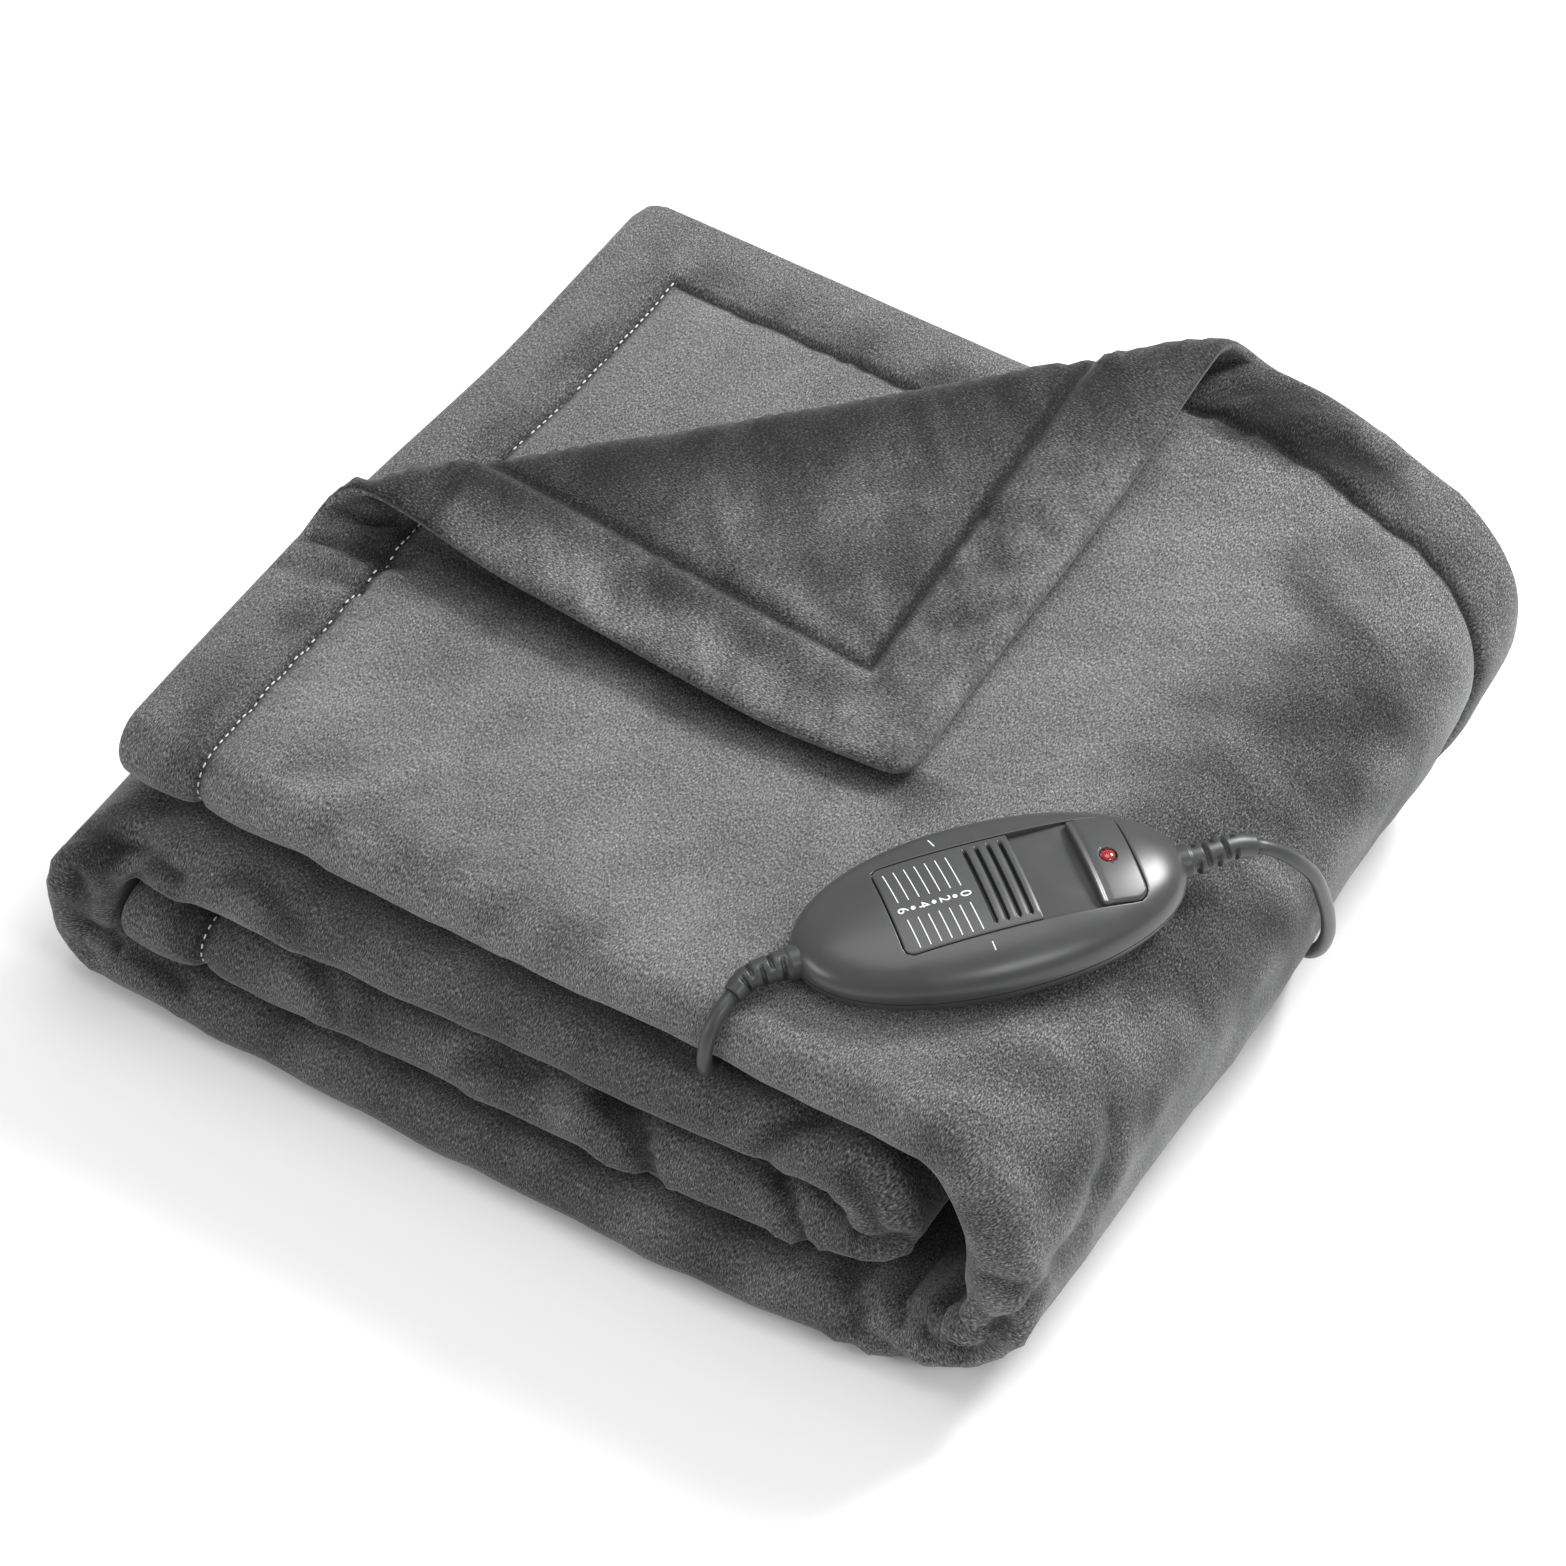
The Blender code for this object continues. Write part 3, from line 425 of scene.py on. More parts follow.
def creased(s, t, side):
    """Depth of the creases: across each one a trough, bell(d) less half a bell of the distance to its two lips, and
    along it a fade at both ends."""
    total = np.zeros(s.shape)
    for s0, t0, s1, t1, half, depth, shown in CREASES:
        if shown == side:
            length = math.hypot(s1 - s0, t1 - t0)
            ds, dt = (s1 - s0) / length, (t1 - t0) / length
            along = (s - s0) * ds + (t - t0) * dt
            across = (t - t0) * ds - (s - s0) * dt + 0.5 * half * np.sin(along / 7.0)
            fade = smooth(1 + along / half) * smooth(1 + (length - along) / half)
            trough = bell(across / half) - 0.5 * bell((np.abs(across) - 2.2 * half) / half)
            total += CREASE_DEPTH * depth * fade * trough
    return total


def hem_relief(s, t):
    """A low crown over the hem, a groove along its seam, the swell beyond it, and the distance from the edge."""
    edge = np.minimum(*edges(s, t))
    crown = np.sin(math.pi * np.clip(edge / HEM, 0, 1)) ** 0.8
    groove = bell((edge - HEM) / SEAM_WIDTH)
    beyond = smooth((edge - HEM) / 14.0) * (1 - smooth((edge - HEM - 14.0) / 50.0))
    return crown, groove, beyond, edge


def pucker(s, t):
    """Short waves that cross the hem and die away from its seam."""
    edge_s, edge_t = edges(s, t)
    along = np.where(edge_s < edge_t, t, s)
    edge = np.minimum(edge_s, edge_t)
    wave = np.sin(2 * math.pi * along / 15.0 + 2.6 * np.sin(along / 23.0) + 1.7 * np.sin(along / 9.0))
    patch = smooth(0.5 + 0.8 * soft_noise(along, edge * 0.3, 60.0, 5))
    return wave * patch * np.where(edge < HEM, bell((HEM - edge) / 17.0), bell((edge - HEM) / 8.0))


def blanket_faces(s, t):
    """The two faces of the cloth: the middle surface, plus and minus half its thickness along its normal, with the
    hem's crown and groove, puckers, soft waves and creases where the cloth shows."""
    place = middle(*round_corners(s, t))
    normal = cloth_normal(*round_corners(s, t))
    crown, groove, beyond, edge = hem_relief(s, t)
    half = PLY / 2 * np.sqrt(np.clip(1 - (1 - np.clip(edge / (PLY / 2), 0, 1)) ** 2, 0, 1))
    past = past_fold(s, t)
    on_top = run_mask(s, S_ENDS, LENGTH_RUNS, "top", "right_lower")
    front = smooth((t - 332.0) / 14.0) * (1 - smooth((t - 386.0) / 8.0))
    open_face = smooth(-past / 12.0) * run_mask(t, T_ENDS, WIDTH_RUNS, "first_ply") * on_top
    open_face = np.maximum(open_face, front)
    second = run_mask(t, T_ENDS, WIDTH_RUNS, "second_ply")
    open_back = smooth(past / 20.0) + second * on_top * smooth((230.0 - s) / 60.0)
    near_case = np.exp(-(((s - CASE_AT[0]) / 66.0) ** 4) - ((t - BACK_Y + CASE_AT[1]) / 72.0) ** 4)
    waves = (0.5 * soft_noise(s, t, 60.0, 21, 16) + 0.25 * soft_noise(s, t, 21.0, 22, 16)) * (1 - near_case)
    ripple = pucker(s, t)
    hem = 1.2 * crown - 1.3 * groove + 0.8 * beyond + 0.8 * ripple
    faces = []
    for side, free in ((1, open_face), (-1, open_back)):
        grow = 0.5 * crown - groove + free * (hem + waves) - creased(s, t, side)
        thick = np.maximum(half + grow * smooth(edge / 3.0), (0.5 - half) * smooth(edge / 3.0))
        face = place + side * normal * thick[..., None]
        face[..., 2] = np.maximum(face[..., 2], 0.0)
        faces.append(face)
    return faces, normal


def pile_and_painted_shade(s, t, side):
    """How light the pile looks, 0 to 1: even; with painted shade in and beside the seams' grooves, in the creases,
    along the turned corner's fold on its underside and on the lower bands; with a painted shadow on the ply below,
    before the turned corner's front hem; less on the turned corner's underside and on the right slope; and in the
    table's patches, whose edges wander."""
    past = past_fold(s, t)
    edge_s, edge_t = edges(s, t)
    edge = np.minimum(edge_s, edge_t)
    wander = 7.0 * soft_noise(s, t, 34.0, 14, 16)
    value = 0.56 + 0.025 * soft_noise(s, t, 60.0, 11, 16) + 0.02 * soft_noise(s, t, 14.0, 12, 16)
    for ms, mt, reach_s, reach_t, turn, shade, shown in PATCHES:
        if shown == side:
            c, k = math.cos(math.radians(turn)), math.sin(math.radians(turn))
            u, v = (s - ms) * c + (t - mt) * k, (t - mt) * c - (s - ms) * k
            value = value + shade * np.exp(-(np.hypot((u + wander) / reach_s, (v - wander) / reach_t) ** 3))
    # painted shade: the pile darker in each seam's groove, more on the two seams near the ends in t, and a little
    # beside the groove on the hem
    seam_groove_shade = np.where(edge_t < edge_s, 0.5, 0.34)
    beside = 0.11 * bell((edge - HEM + 8.0) / 7.0) * (1 + 0.9 * soft_noise(s, t, 30.0, 15, 12))
    seam = seam_groove_shade * bell((edge - HEM) / 1.7) + beside
    rim = smooth((HEM - edge) / 4.0)
    if side < 0:
        brushed = 0.05 * soft_noise(0.35 * (s + t), s - t, 26.0, 16, 18) + 0.04 * soft_noise(s, t, 15.0, 17, 14)
        # painted shade on the turned corner's underside, along its fold
        crest_shade = 0.27 * bell((past - 27.0) / 24.0)
        under = np.where(past > 0, 0.21 - 0.12 * rim + crest_shade + brushed, 0.05 * rim)
    else:
        # painted shadow: the turned corner's shadow on the ply below, just before its front hem, with a reach that
        # wanders
        reach = 9.0 + 2.5 * soft_noise(s, t, 24.0, 18, 12)
        flap_shadow = smooth((s - 10.0) / 30.0) * smooth((262.0 - s) / 24.0) * smooth((t - 226.0) / 8.0)
        under = 0.05 * rim + 0.30 * flap_shadow * bell(np.clip(t - 239.0, 0, None) / reach)
    slope = smooth((s - 285.0) / 50.0) * smooth((450.0 - s) / 20.0)
    slope = slope * smooth((t - 44.0) / 20.0) * smooth((s + 0.4 * t - 330.0) / 60.0)
    # painted shade: the lower bands darker all over
    lower = smooth((s - 430.0) / 40.0)
    bands = slope * (0.09 + 0.07 * soft_noise(0.3 * (s - t), s + t, 24.0, 20, 18)) + 0.15 * lower
    bands = bands + 0.05 * smooth((t - 350.0) / 16.0) * lower * soft_noise(s, t, 42.0, 19, 16)
    # painted shade: the pile darker in each crease, by its depth
    return np.clip(value - seam - under - bands - 0.075 * np.clip(creased(s, t, side), 0, 3.2), 0, 1)


def blanket_shape(finish):
    """The whole cloth as one closed shell: both faces on one grid of (s, t), sharing the points round the rim."""
    s, t = np.meshgrid(stations(LENGTH_RUNS, S_ENDS), stations(WIDTH_RUNS, T_ENDS), indexing="ij")
    (face, back), _ = blanket_faces(s, t)
    rows, cols = s.shape
    front_index = np.arange(rows * cols).reshape(rows, cols)
    inside = np.zeros((rows, cols), bool)
    inside[1:-1, 1:-1] = True
    back_index = front_index.copy()
    back_index[inside] = rows * cols + np.arange(inside.sum())
    points = np.concatenate([face.reshape(-1, 3), back[inside]])
    faces = np.concatenate([grid_faces(front_index)[:, ::-1], grid_faces(back_index)])
    obj = make_mesh("blanket_cloth", points, faces, finish)
    flat = np.stack([s, t, np.zeros(s.shape)], -1)
    other = flat + [0.0, 0.0, 500.0]
    add_attribute(obj, "flat", np.concatenate([flat.reshape(-1, 3), other[inside]]) * MM)
    # per point: the pile's lay and tone, with painted shade and a painted shadow in it
    add_attribute(obj, "pile_and_painted_shade", np.concatenate([pile_and_painted_shade(s, t, 1).ravel(), pile_and_painted_shade(s, t, -1)[inside]]))
    return obj


def stitch_shape(finish):
    """Short rounded threads, one every STITCH, along the two seams whose thread shows; on the other two, and on the
    turned corner, it lies buried in the pile."""
    inner_t = np.arange(HEM, T_MAX - HEM + 0.1, STITCH)
    second = inner_t[inner_t > T_MAX / 2]
    seams = [(HEM, inner_t, 1), (HEM, second, -1), (S_MAX - HEM, inner_t, 1), (S_MAX - HEM, inner_t, -1)]
    long, wide, high = 1.1, 0.34, 0.32
    ring = [(math.cos(a), math.sin(a)) for a in round_turn(6)]
    rules = [(0, 1 + (n + 1) % 6, 1 + n) for n in range(6)]
    rules += [(13, 7 + n, 7 + (n + 1) % 6) for n in range(6)]
    rules += [(1 + n, 1 + (n + 1) % 6, 7 + (n + 1) % 6, 7 + n) for n in range(6)]
    points, faces, count = [], [], 0
    for across, t, side in seams:
        s = np.full(t.shape, across)
        ahead = unit(middle(s, t + 1.0) - middle(s, t - 1.0))
        both, normal = blanket_faces(s, t)
        up = normal * side
        beside = unit(np.cross(up, ahead))
        centre = both[(1 - side) // 2] + up * 0.22
        base = count + np.arange(len(s)) * 14
        body = [centre - ahead * long]
        for along in (-0.6, 0.6):
            for c, r in ring:
                body.append(centre + ahead * long * along + beside * wide * c + up * high * r)
        body.append(centre + ahead * long)
        points.append(np.stack(body, 1).reshape(-1, 3))
        for corners in rules:
            faces += (base[:, None] + np.array(corners)[None, :]).tolist()
        count += len(s) * 14
    return make_mesh("hem_stitches", np.concatenate(points), faces, finish)


# ---- tubes ----
def smooth_route(points, step):
    """Places every step along a Catmull-Rom curve through the points."""
    p = np.array(points, float)
    p = np.vstack([2 * p[0] - p[1], p, 2 * p[-1] - p[-2]])
    u = np.linspace(0, 1, 24, endpoint=False)[:, None]
    fine = [
        0.5 * (2 * b + (c - a) * u + (2 * a - 5 * b + 4 * c - d) * u**2 + (3 * b - a - 3 * c + d) * u**3)
        for a, b, c, d in zip(p, p[1:], p[2:], p[3:])
    ]
    fine = np.vstack([*fine, p[-2:-1]])
    length = lengths_along(fine)
    at = np.linspace(0, length[-1], max(2, round(length[-1] / step) + 1))
    return np.stack([np.interp(at, length, fine[:, k]) for k in range(3)], 1)


def carried(path):
    """Two directions across the path at each of its points, turned as little as can be from one to the next."""
    ahead = unit(np.gradient(path, axis=0))
    across = np.zeros_like(path)
    start = np.cross(ahead[0], (0.0, 0.0, 1.0))
    across[0] = start / np.linalg.norm(start)
    for n in range(1, len(path)):
        side = across[n - 1] - ahead[n] * np.dot(across[n - 1], ahead[n])
        across[n] = side / np.linalg.norm(side)
    return ahead, across, np.cross(ahead, across)


def closed_rings(name, rings, finish, sharp=None, flip=False, tips=None):
    """A closed body from rings of points, one inside or above the next, each end closed by a fan to its tip, or else
    to its middle."""
    rows, cols = len(rings), len(rings[0])
    index = ring_index(rows, cols)
    points = np.concatenate([*rings, tips or [rings[0].mean(0), rings[-1].mean(0)]])
    first, last = rows * cols, rows * cols + 1
    faces = [list(f) for f in grid_faces(index)]
    faces += [[first, index[0, n], index[0, n + 1]] for n in range(cols)]
    faces += [[last, index[-1, n + 1], index[-1, n]] for n in range(cols)]
    if flip:
        faces = [f[::-1] for f in faces]
    return make_mesh(name, points, faces, finish, sharp=sharp)


def tube_shape(name, path, radius, finish, sides=16):
    """A closed tube: a circle of radius(distance along, angle) along the path, with a rounded cap at each end."""
    ahead, across, up = carried(path)
    angle = round_turn(sides)
    size = radius(lengths_along(path)[:, None], angle[None, :]) * np.ones((len(path), sides))
    ring = across[:, None, :] * np.cos(angle)[None, :, None] + up[:, None, :] * np.sin(angle)[None, :, None]
    wall = path[:, None, :] + ring * size[..., None]
    caps = []
    for end, way in ((0, -1.0), (-1, 1.0)):
        edge, out = ring[end] * size[end][:, None], ahead[end] * way * 0.25
        caps.append([path[end] + edge * k + out * d for k, d in ((0.93, 0.7), (0.7, 1.0))])
    rings = [caps[0][1], caps[0][0], *wall, *caps[1]]
    tips = [path[0] - ahead[0] * 0.25, path[-1] + ahead[-1] * 0.25]
    return closed_rings(name, rings, finish, flip=True, tips=tips)


def coil_route():
    """Eight turns about the coil's middle. Each keeps to one lane of a square of three by three, and eases into the
    next lane over CROSSING of a turn. A change of direction comes a little earlier in its turn, so that the turns stay
    apart.
    """
    steps = np.diff(COIL_LANES, axis=0)
    bent = np.concatenate([[0], np.cumsum(np.abs(np.diff(np.abs(steps[:, 0]))) > 0)])
    done = COIL_FROM + 1 + np.arange(len(steps)) - CROSSING * 0.24 * bent
    turns = np.linspace(COIL_FROM, COIL_TO, round(12 * (COIL_TO - COIL_FROM)))
    moved = smooth((turns[:, None] - done) / CROSSING + 1)
    lane = 2 * CORD_R * (COIL_LANES[0] + moved @ steps)
    angle = 2 * math.pi * turns
    reach = COIL_R + lane[:, 0]
    return np.stack([COIL_AT[0] + reach * np.cos(angle), COIL_AT[1] + reach * np.sin(angle), COIL_Z + lane[:, 1]], 1)


# ---- the controller's shapes ----
def case_frame(points):
    """Points from the case's own axes (length, width, up from the parting line) to the part's."""
    turn = math.radians(CASE_TURN)
    c, s = math.cos(turn), math.sin(turn)
    points = np.asarray(points, float)
    x = CASE_AT[0] + points[..., 0] * c - points[..., 1] * s
    y = CASE_AT[1] + points[..., 0] * s + points[..., 1] * c
    return np.stack([x, y, REST_Z + points[..., 2]], -1) - ORIGIN


def plan_reach(length, width):
    """How far out a place is in the oval outline, 0 in the middle and 1 on it."""
    return (np.abs(length / CASE_SIZE[0]) ** CASE_PLAN + np.abs(width / CASE_SIZE[1]) ** CASE_PLAN) ** (1 / CASE_PLAN)


def oval_ring(c, s, reach, height):
    """The oval outline in the directions (c, s), drawn in to reach, at a height."""
    edge = (np.abs(c) ** CASE_PLAN + np.abs(s) ** CASE_PLAN) ** (-1 / CASE_PLAN)
    return np.stack([c * edge * reach * CASE_SIZE[0], s * edge * reach * CASE_SIZE[1], np.zeros(len(c)) + height], -1)


def dome_height(length, width, up=CASE_UP):
    """Height of the cover: up * (1 - reach^p)^(1/p)."""
    reach = np.clip(plan_reach(length, width), 0, 1)
    return up * (1 - reach**CASE_SECTION) ** (1 / CASE_SECTION)


def on_dome(length, width, lift):
    """Points that stand so far over the dome."""
    return np.stack([length, width, dome_height(length, width) + lift], -1)


def rounded_outline(low, high, half, corners, angles):
    """Points on a rectangle with round corners, at each angle from its middle: found by shrinking a far point to it."""
    middle_l = (low + high) / 2
    reach = (high - low) / 2
    c, s = np.cos(angles), np.sin(angles)
    lo, hi = np.zeros(len(angles)), np.full(len(angles), 2 * max(reach, half))
    corner = np.where(c > 0, corners[1], corners[0])
    for _ in range(40):
        mid = (lo + hi) / 2
        dx = np.abs(mid * c) - (reach - corner)
        dy = np.abs(mid * s) - (half - corner)
        outside = np.hypot(np.clip(dx, 0, None), np.clip(dy, 0, None)) + np.minimum(np.maximum(dx, dy), 0) - corner
        lo, hi = np.where(outside < 0, mid, lo), np.where(outside < 0, hi, mid)
    return middle_l + mid * c, mid * s


def cover_shape(finish):
    """The case's upper half: rings from the middle of the recess floor, up its wall, over a small round edge, down the
    dome to the parting line, and in again underneath."""
    turns = round_turn(160)
    angles = np.sort((turns - 0.12 * np.sin(4 * turns)) % (2 * math.pi))
    l0, w0 = rounded_outline(*OPENING, OPENING_CORNERS, angles)
    middle_l = (OPENING[0] + OPENING[1]) / 2
    rings = []
    for k in (0.3, 0.7, 1.0):
        l, w = middle_l + (l0 - middle_l) * k, w0 * k
        rings.append(np.stack([l, w, np.minimum(RECESS_FLOOR - 0.4, dome_height(l, w) - 1.3)], -1))
    rings.append(np.stack([l0, w0, np.maximum(dome_height(l0, w0) - LIP, 3.0)], -1))
    outward = unit(np.stack([l0 - middle_l, w0 * 2.2], -1))
    for turn in (30, 60, 90):
        a = math.radians(turn)
        l1 = l0 + outward[:, 0] * LIP * (1 - math.cos(a))
        w1 = w0 + outward[:, 1] * LIP * (1 - math.cos(a))
        rings.append(on_dome(l1, w1, -LIP * (1 - math.sin(a))))
    base = rings[-1]
    inner = np.clip(plan_reach(base[:, 0], base[:, 1]), 0, 0.9999)
    rim_angle = np.arctan2(base[:, 1] / CASE_SIZE[1], base[:, 0] / CASE_SIZE[0])
    c, s = np.cos(rim_angle), np.sin(rim_angle)
    phi0 = np.arccos(inner ** (CASE_SECTION / 2))
    for k in np.linspace(0, 1, 34)[1:]:
        phi = phi0 * (1 - k)
        height = CASE_UP * np.sin(phi) ** (2 / CASE_SECTION)
        rings.append(oval_ring(c, s, np.cos(phi) ** (2 / CASE_SECTION), np.maximum(height, PARTING)))
    rim = rings[-1]
    for shrink in (0.99, 0.97, 0.5):
        rings.append(rim * [shrink, shrink, 0] + [0, 0, PARTING_INSIDE])
    return closed_rings("case_cover", [case_frame(r) for r in rings], finish, sharp=50)


def base_shape(finish):
    """The case's lower half: rings from under the cover, round the rim, down to a flat foot."""
    c, s = np.cos(round_turn(128)), np.sin(round_turn(128))
    rings = [oval_ring(c, s, reach, -PARTING_INSIDE) for reach in (0.5, 0.97, 0.99)]
    foot = math.asin((CASE_FOOT / CASE_DOWN) ** (CASE_SECTION / 2))
    for phi in np.linspace(0, foot, 12):
        height = -CASE_DOWN * math.sin(phi) ** (2 / CASE_SECTION)
        rings.append(oval_ring(c, s, math.cos(phi) ** (2 / CASE_SECTION), min(height, -PARTING)))
    rings.append(rings[-1] * [0.9, 0.88, 1])
    return closed_rings("case_base", [case_frame(r) for r in rings], finish, sharp=50)


def plate_shape(name, block, corners, top, bottom, finish, dense, shade, edge=0.5):
    """A plate with round corners that follows the dome: rows along the case, each from side to side within the rounded
    outline, its rim turned down in a quarter round, with more rows at dense, and painted shade in its hollows as the
    shade attribute, from shade."""
    low, high, half = block
    bend = 1 - np.cos(np.linspace(0, math.pi / 2, 9))
    lines = [np.linspace(low, high, 60), low + corners[0] * bend, high - corners[1] * bend, *dense]
    lines = np.unique(np.round(np.concatenate(lines), 3))
    lines = lines[(lines >= low) & (lines <= high)]
    width = half
    for corner, away in zip(corners, (lines - low, high - lines)):
        width = width - (corner - np.sqrt(corner**2 - np.clip(corner - away, 0, corner) ** 2))
    across = np.sin(np.linspace(-math.pi / 2, math.pi / 2, 61))
    across = np.sign(across) * (0.55 * np.abs(across) + 0.45 * np.abs(across) ** 3)
    length = np.repeat(lines[:, None], len(across), 1)
    side = width[:, None] * across[None, :]
    from_rim = np.minimum(np.minimum(length - low, high - length), width[:, None] - np.abs(side))
    from_rim = np.clip(from_rim, 0, edge) / edge
    height = top(length, side) - edge * (1 - np.sqrt(np.clip(1 - (1 - from_rim) ** 2, 0, 1)))
    upper = np.stack([length, side, height], -1)
    lower = np.stack([length, side, np.full(length.shape, bottom)], -1)
    a = np.arange(length.size).reshape(length.shape)
    loop = np.concatenate([a[:, 0], a[-1, 1:], a[-2::-1, -1], a[0, -2::-1]])
    under = loop + a.size
    skirt = np.stack([loop[:-1], under[:-1], under[1:], loop[1:]], -1)
    faces = np.concatenate([grid_faces(a), grid_faces(a + a.size)[:, ::-1], skirt])
    points = np.concatenate([upper.reshape(-1, 3), lower.reshape(-1, 3)])
    obj = make_mesh(name, case_frame(points), faces, finish, sharp=50)
    # painted shade in the plate's hollows
    recess_shade = shade(length, side).ravel()
    add_attribute(obj, "shade", np.concatenate([recess_shade, recess_shade]))
    return obj


def groove_cut(length, side):
    """1 in the four round-ended finger grooves, and 0 outside them: their depth, and the painted shade in them."""
    beyond = np.clip(np.abs(side) - GROOVES[2] + 0.6, 0, None)
    away = [np.hypot(length - GROOVES[0] - GROOVES[1] * n, beyond) for n in range(4)]
    return 1 - smooth((np.min(away, 0) - 0.3) / 0.5)


def slider_top(length, side):
    """The dome, a little lower, with the finger grooves cut into it and a low rise beside each."""
    height = dome_height(length, side) - 0.1 - 1.7 * groove_cut(length, side)
    inside = 1 - smooth((np.abs(side) - GROOVES[2]) / 1.0)
    for n in range(4):
        height = height + 0.3 * bell((length - GROOVES[0] - GROOVES[1] * n - 1.6) / 0.8) * inside
    return height


# 1 in the lamp's well and 0 outside it: its depth, and the painted shade in it
def lamp_well(length, side):
    away = np.hypot(length - LAMP_AT[0], side - LAMP_AT[1])
    return 1 - smooth((away - LAMP_R - 0.15) / 0.4)


def lamp_top(length, side):
    """The raised block's top: the dome lifted a little, hollowed towards the recess, with a well for the lamp."""
    height = dome_height(length, side) + 0.75 - 0.35 * bell((length - LAMP_BLOCK[0] - 2.2) / 1.0)
    return height - lamp_well(length, side)


def strip(lines, half_wide):
    """Printed bars on the slider or the cover: for each (length, width) start and end, a thin box along the dome."""
    points, faces = [], []
    u = np.linspace(0, 1, 9)
    for n, ((l0, w0), (l1, w1), lift) in enumerate(lines):
        l, w = l0 + (l1 - l0) * u, w0 + (w1 - w0) * u
        norm = math.hypot(l1 - l0, w1 - w0)
        dl, dw = -(w1 - w0) / norm * half_wide, (l1 - l0) / norm * half_wide
        left, right = on_dome(l + dl, w + dw, lift), on_dome(l - dl, w - dw, lift)
        down = np.array([0, 0, 0.035])
        index = ring_index(9, 4, 36 * n)
        points.append(np.stack([left, right, right - down, left - down], 1).reshape(-1, 3))
        faces += [list(f) for f in grid_faces(index)]
        faces += [list(index[0, :4]), list(index[-1, 3::-1])]
    return np.concatenate(points), faces


# ---- materials ----
def put(tree, made, values):
    """Values for a node's inputs, by name or number: another node's output is linked, and all else is set."""
    for key, value in values.items():
        if isinstance(value, bpy.types.NodeSocket):
            tree.links.new(value, made.inputs[key])
        else:
            made.inputs[key].default_value = value


def new_material(name, colour, roughness):
    made = bpy.data.materials.new(name)
    made.use_nodes = True
    shader = made.node_tree.nodes["Principled BSDF"]
    put(made.node_tree, shader, {"Base Color": (*colour, 1.0), "Roughness": roughness})
    return made, made.node_tree, shader


def node(tree, kind, **values):
    """A new node: names of its inputs and of its own settings, with their values."""
    made = tree.nodes.new(kind)
    for key, value in values.items():
        if key in made.inputs:
            put(tree, made, {key: value})
        else:
            setattr(made, key, value)
    return made


def ramp(tree, source, stops):
    made = node(tree, "ShaderNodeValToRGB", Fac=source)
    elements = made.color_ramp.elements
    while len(elements) < len(stops):
        elements.new(0.5)
    for element, (at, colour) in zip(elements, stops):
        element.position = at
        element.color = (*colour, 1.0)
    return made.outputs["Color"]


def maths(tree, operation, *values):
    made = node(tree, "ShaderNodeMath", operation=operation)
    put(tree, made, dict(enumerate(values)))
    return made.outputs[0]


def noise(tree, vector, scale, detail, roughness=0.6, stretch=None, swirl=0.0):
    if stretch:
        vector = node(tree, "ShaderNodeMapping", Scale=stretch, Vector=vector).outputs["Vector"]
    values = {"Vector": vector, "Scale": scale, "Detail": detail, "Roughness": roughness, "Distortion": swirl}
    return node(tree, "ShaderNodeTexNoise", **values).outputs["Fac"]


def bumps(tree, height, strength, distance):
    return node(tree, "ShaderNodeBump", Strength=strength, Distance=distance, Height=height).outputs["Normal"]


def plush_material():
    """Short pile: its shade from a per-point attribute that holds the pile's lay with painted shade and a painted
    shadow, and from the flat cloth's own coordinates clumps and fibre streaks that run along t, with sheen at a grazing
    look."""
    made, tree, shader = new_material("plush", (0.1, 0.1, 0.1), 0.9)
    flat = node(tree, "ShaderNodeAttribute", attribute_name="flat").outputs["Vector"]
    total = node(tree, "ShaderNodeAttribute", attribute_name="pile_and_painted_shade").outputs["Fac"]
    clump = noise(tree, flat, 95.0, 3.0)
    tuft = noise(tree, flat, 1.0, 2.0, 0.6, (900.0, 420.0, 600.0))
    fibre = noise(tree, flat, 1.0, 2.0, 0.6, (2400.0, 950.0, 1400.0), 0.4)
    for source, gain in ((clump, 0.09), (tuft, 0.30), (fibre, 1.7)):
        total = maths(tree, "ADD", total, maths(tree, "MULTIPLY", maths(tree, "SUBTRACT", source, 0.5), gain))
    stops = [
        (0.0, (0.012, 0.012, 0.0125)),
        (0.3, (0.044, 0.0443, 0.0446)),
        (0.56, (0.116, 0.1164, 0.1164)),
        (1.0, (0.36, 0.361, 0.362)),
    ]
    height = maths(tree, "ADD", maths(tree, "MULTIPLY", tuft, 0.5), fibre)
    look = {
        "Base Color": ramp(tree, total, stops), "Normal": bumps(tree, height, 0.4, 0.0006), "Specular IOR Level": 0.12,
        "Sheen Weight": 0.30, "Sheen Roughness": 0.38, "Sheen Tint": (0.75, 0.76, 0.77, 1.0),
    }
    put(tree, shader, look)
    return made


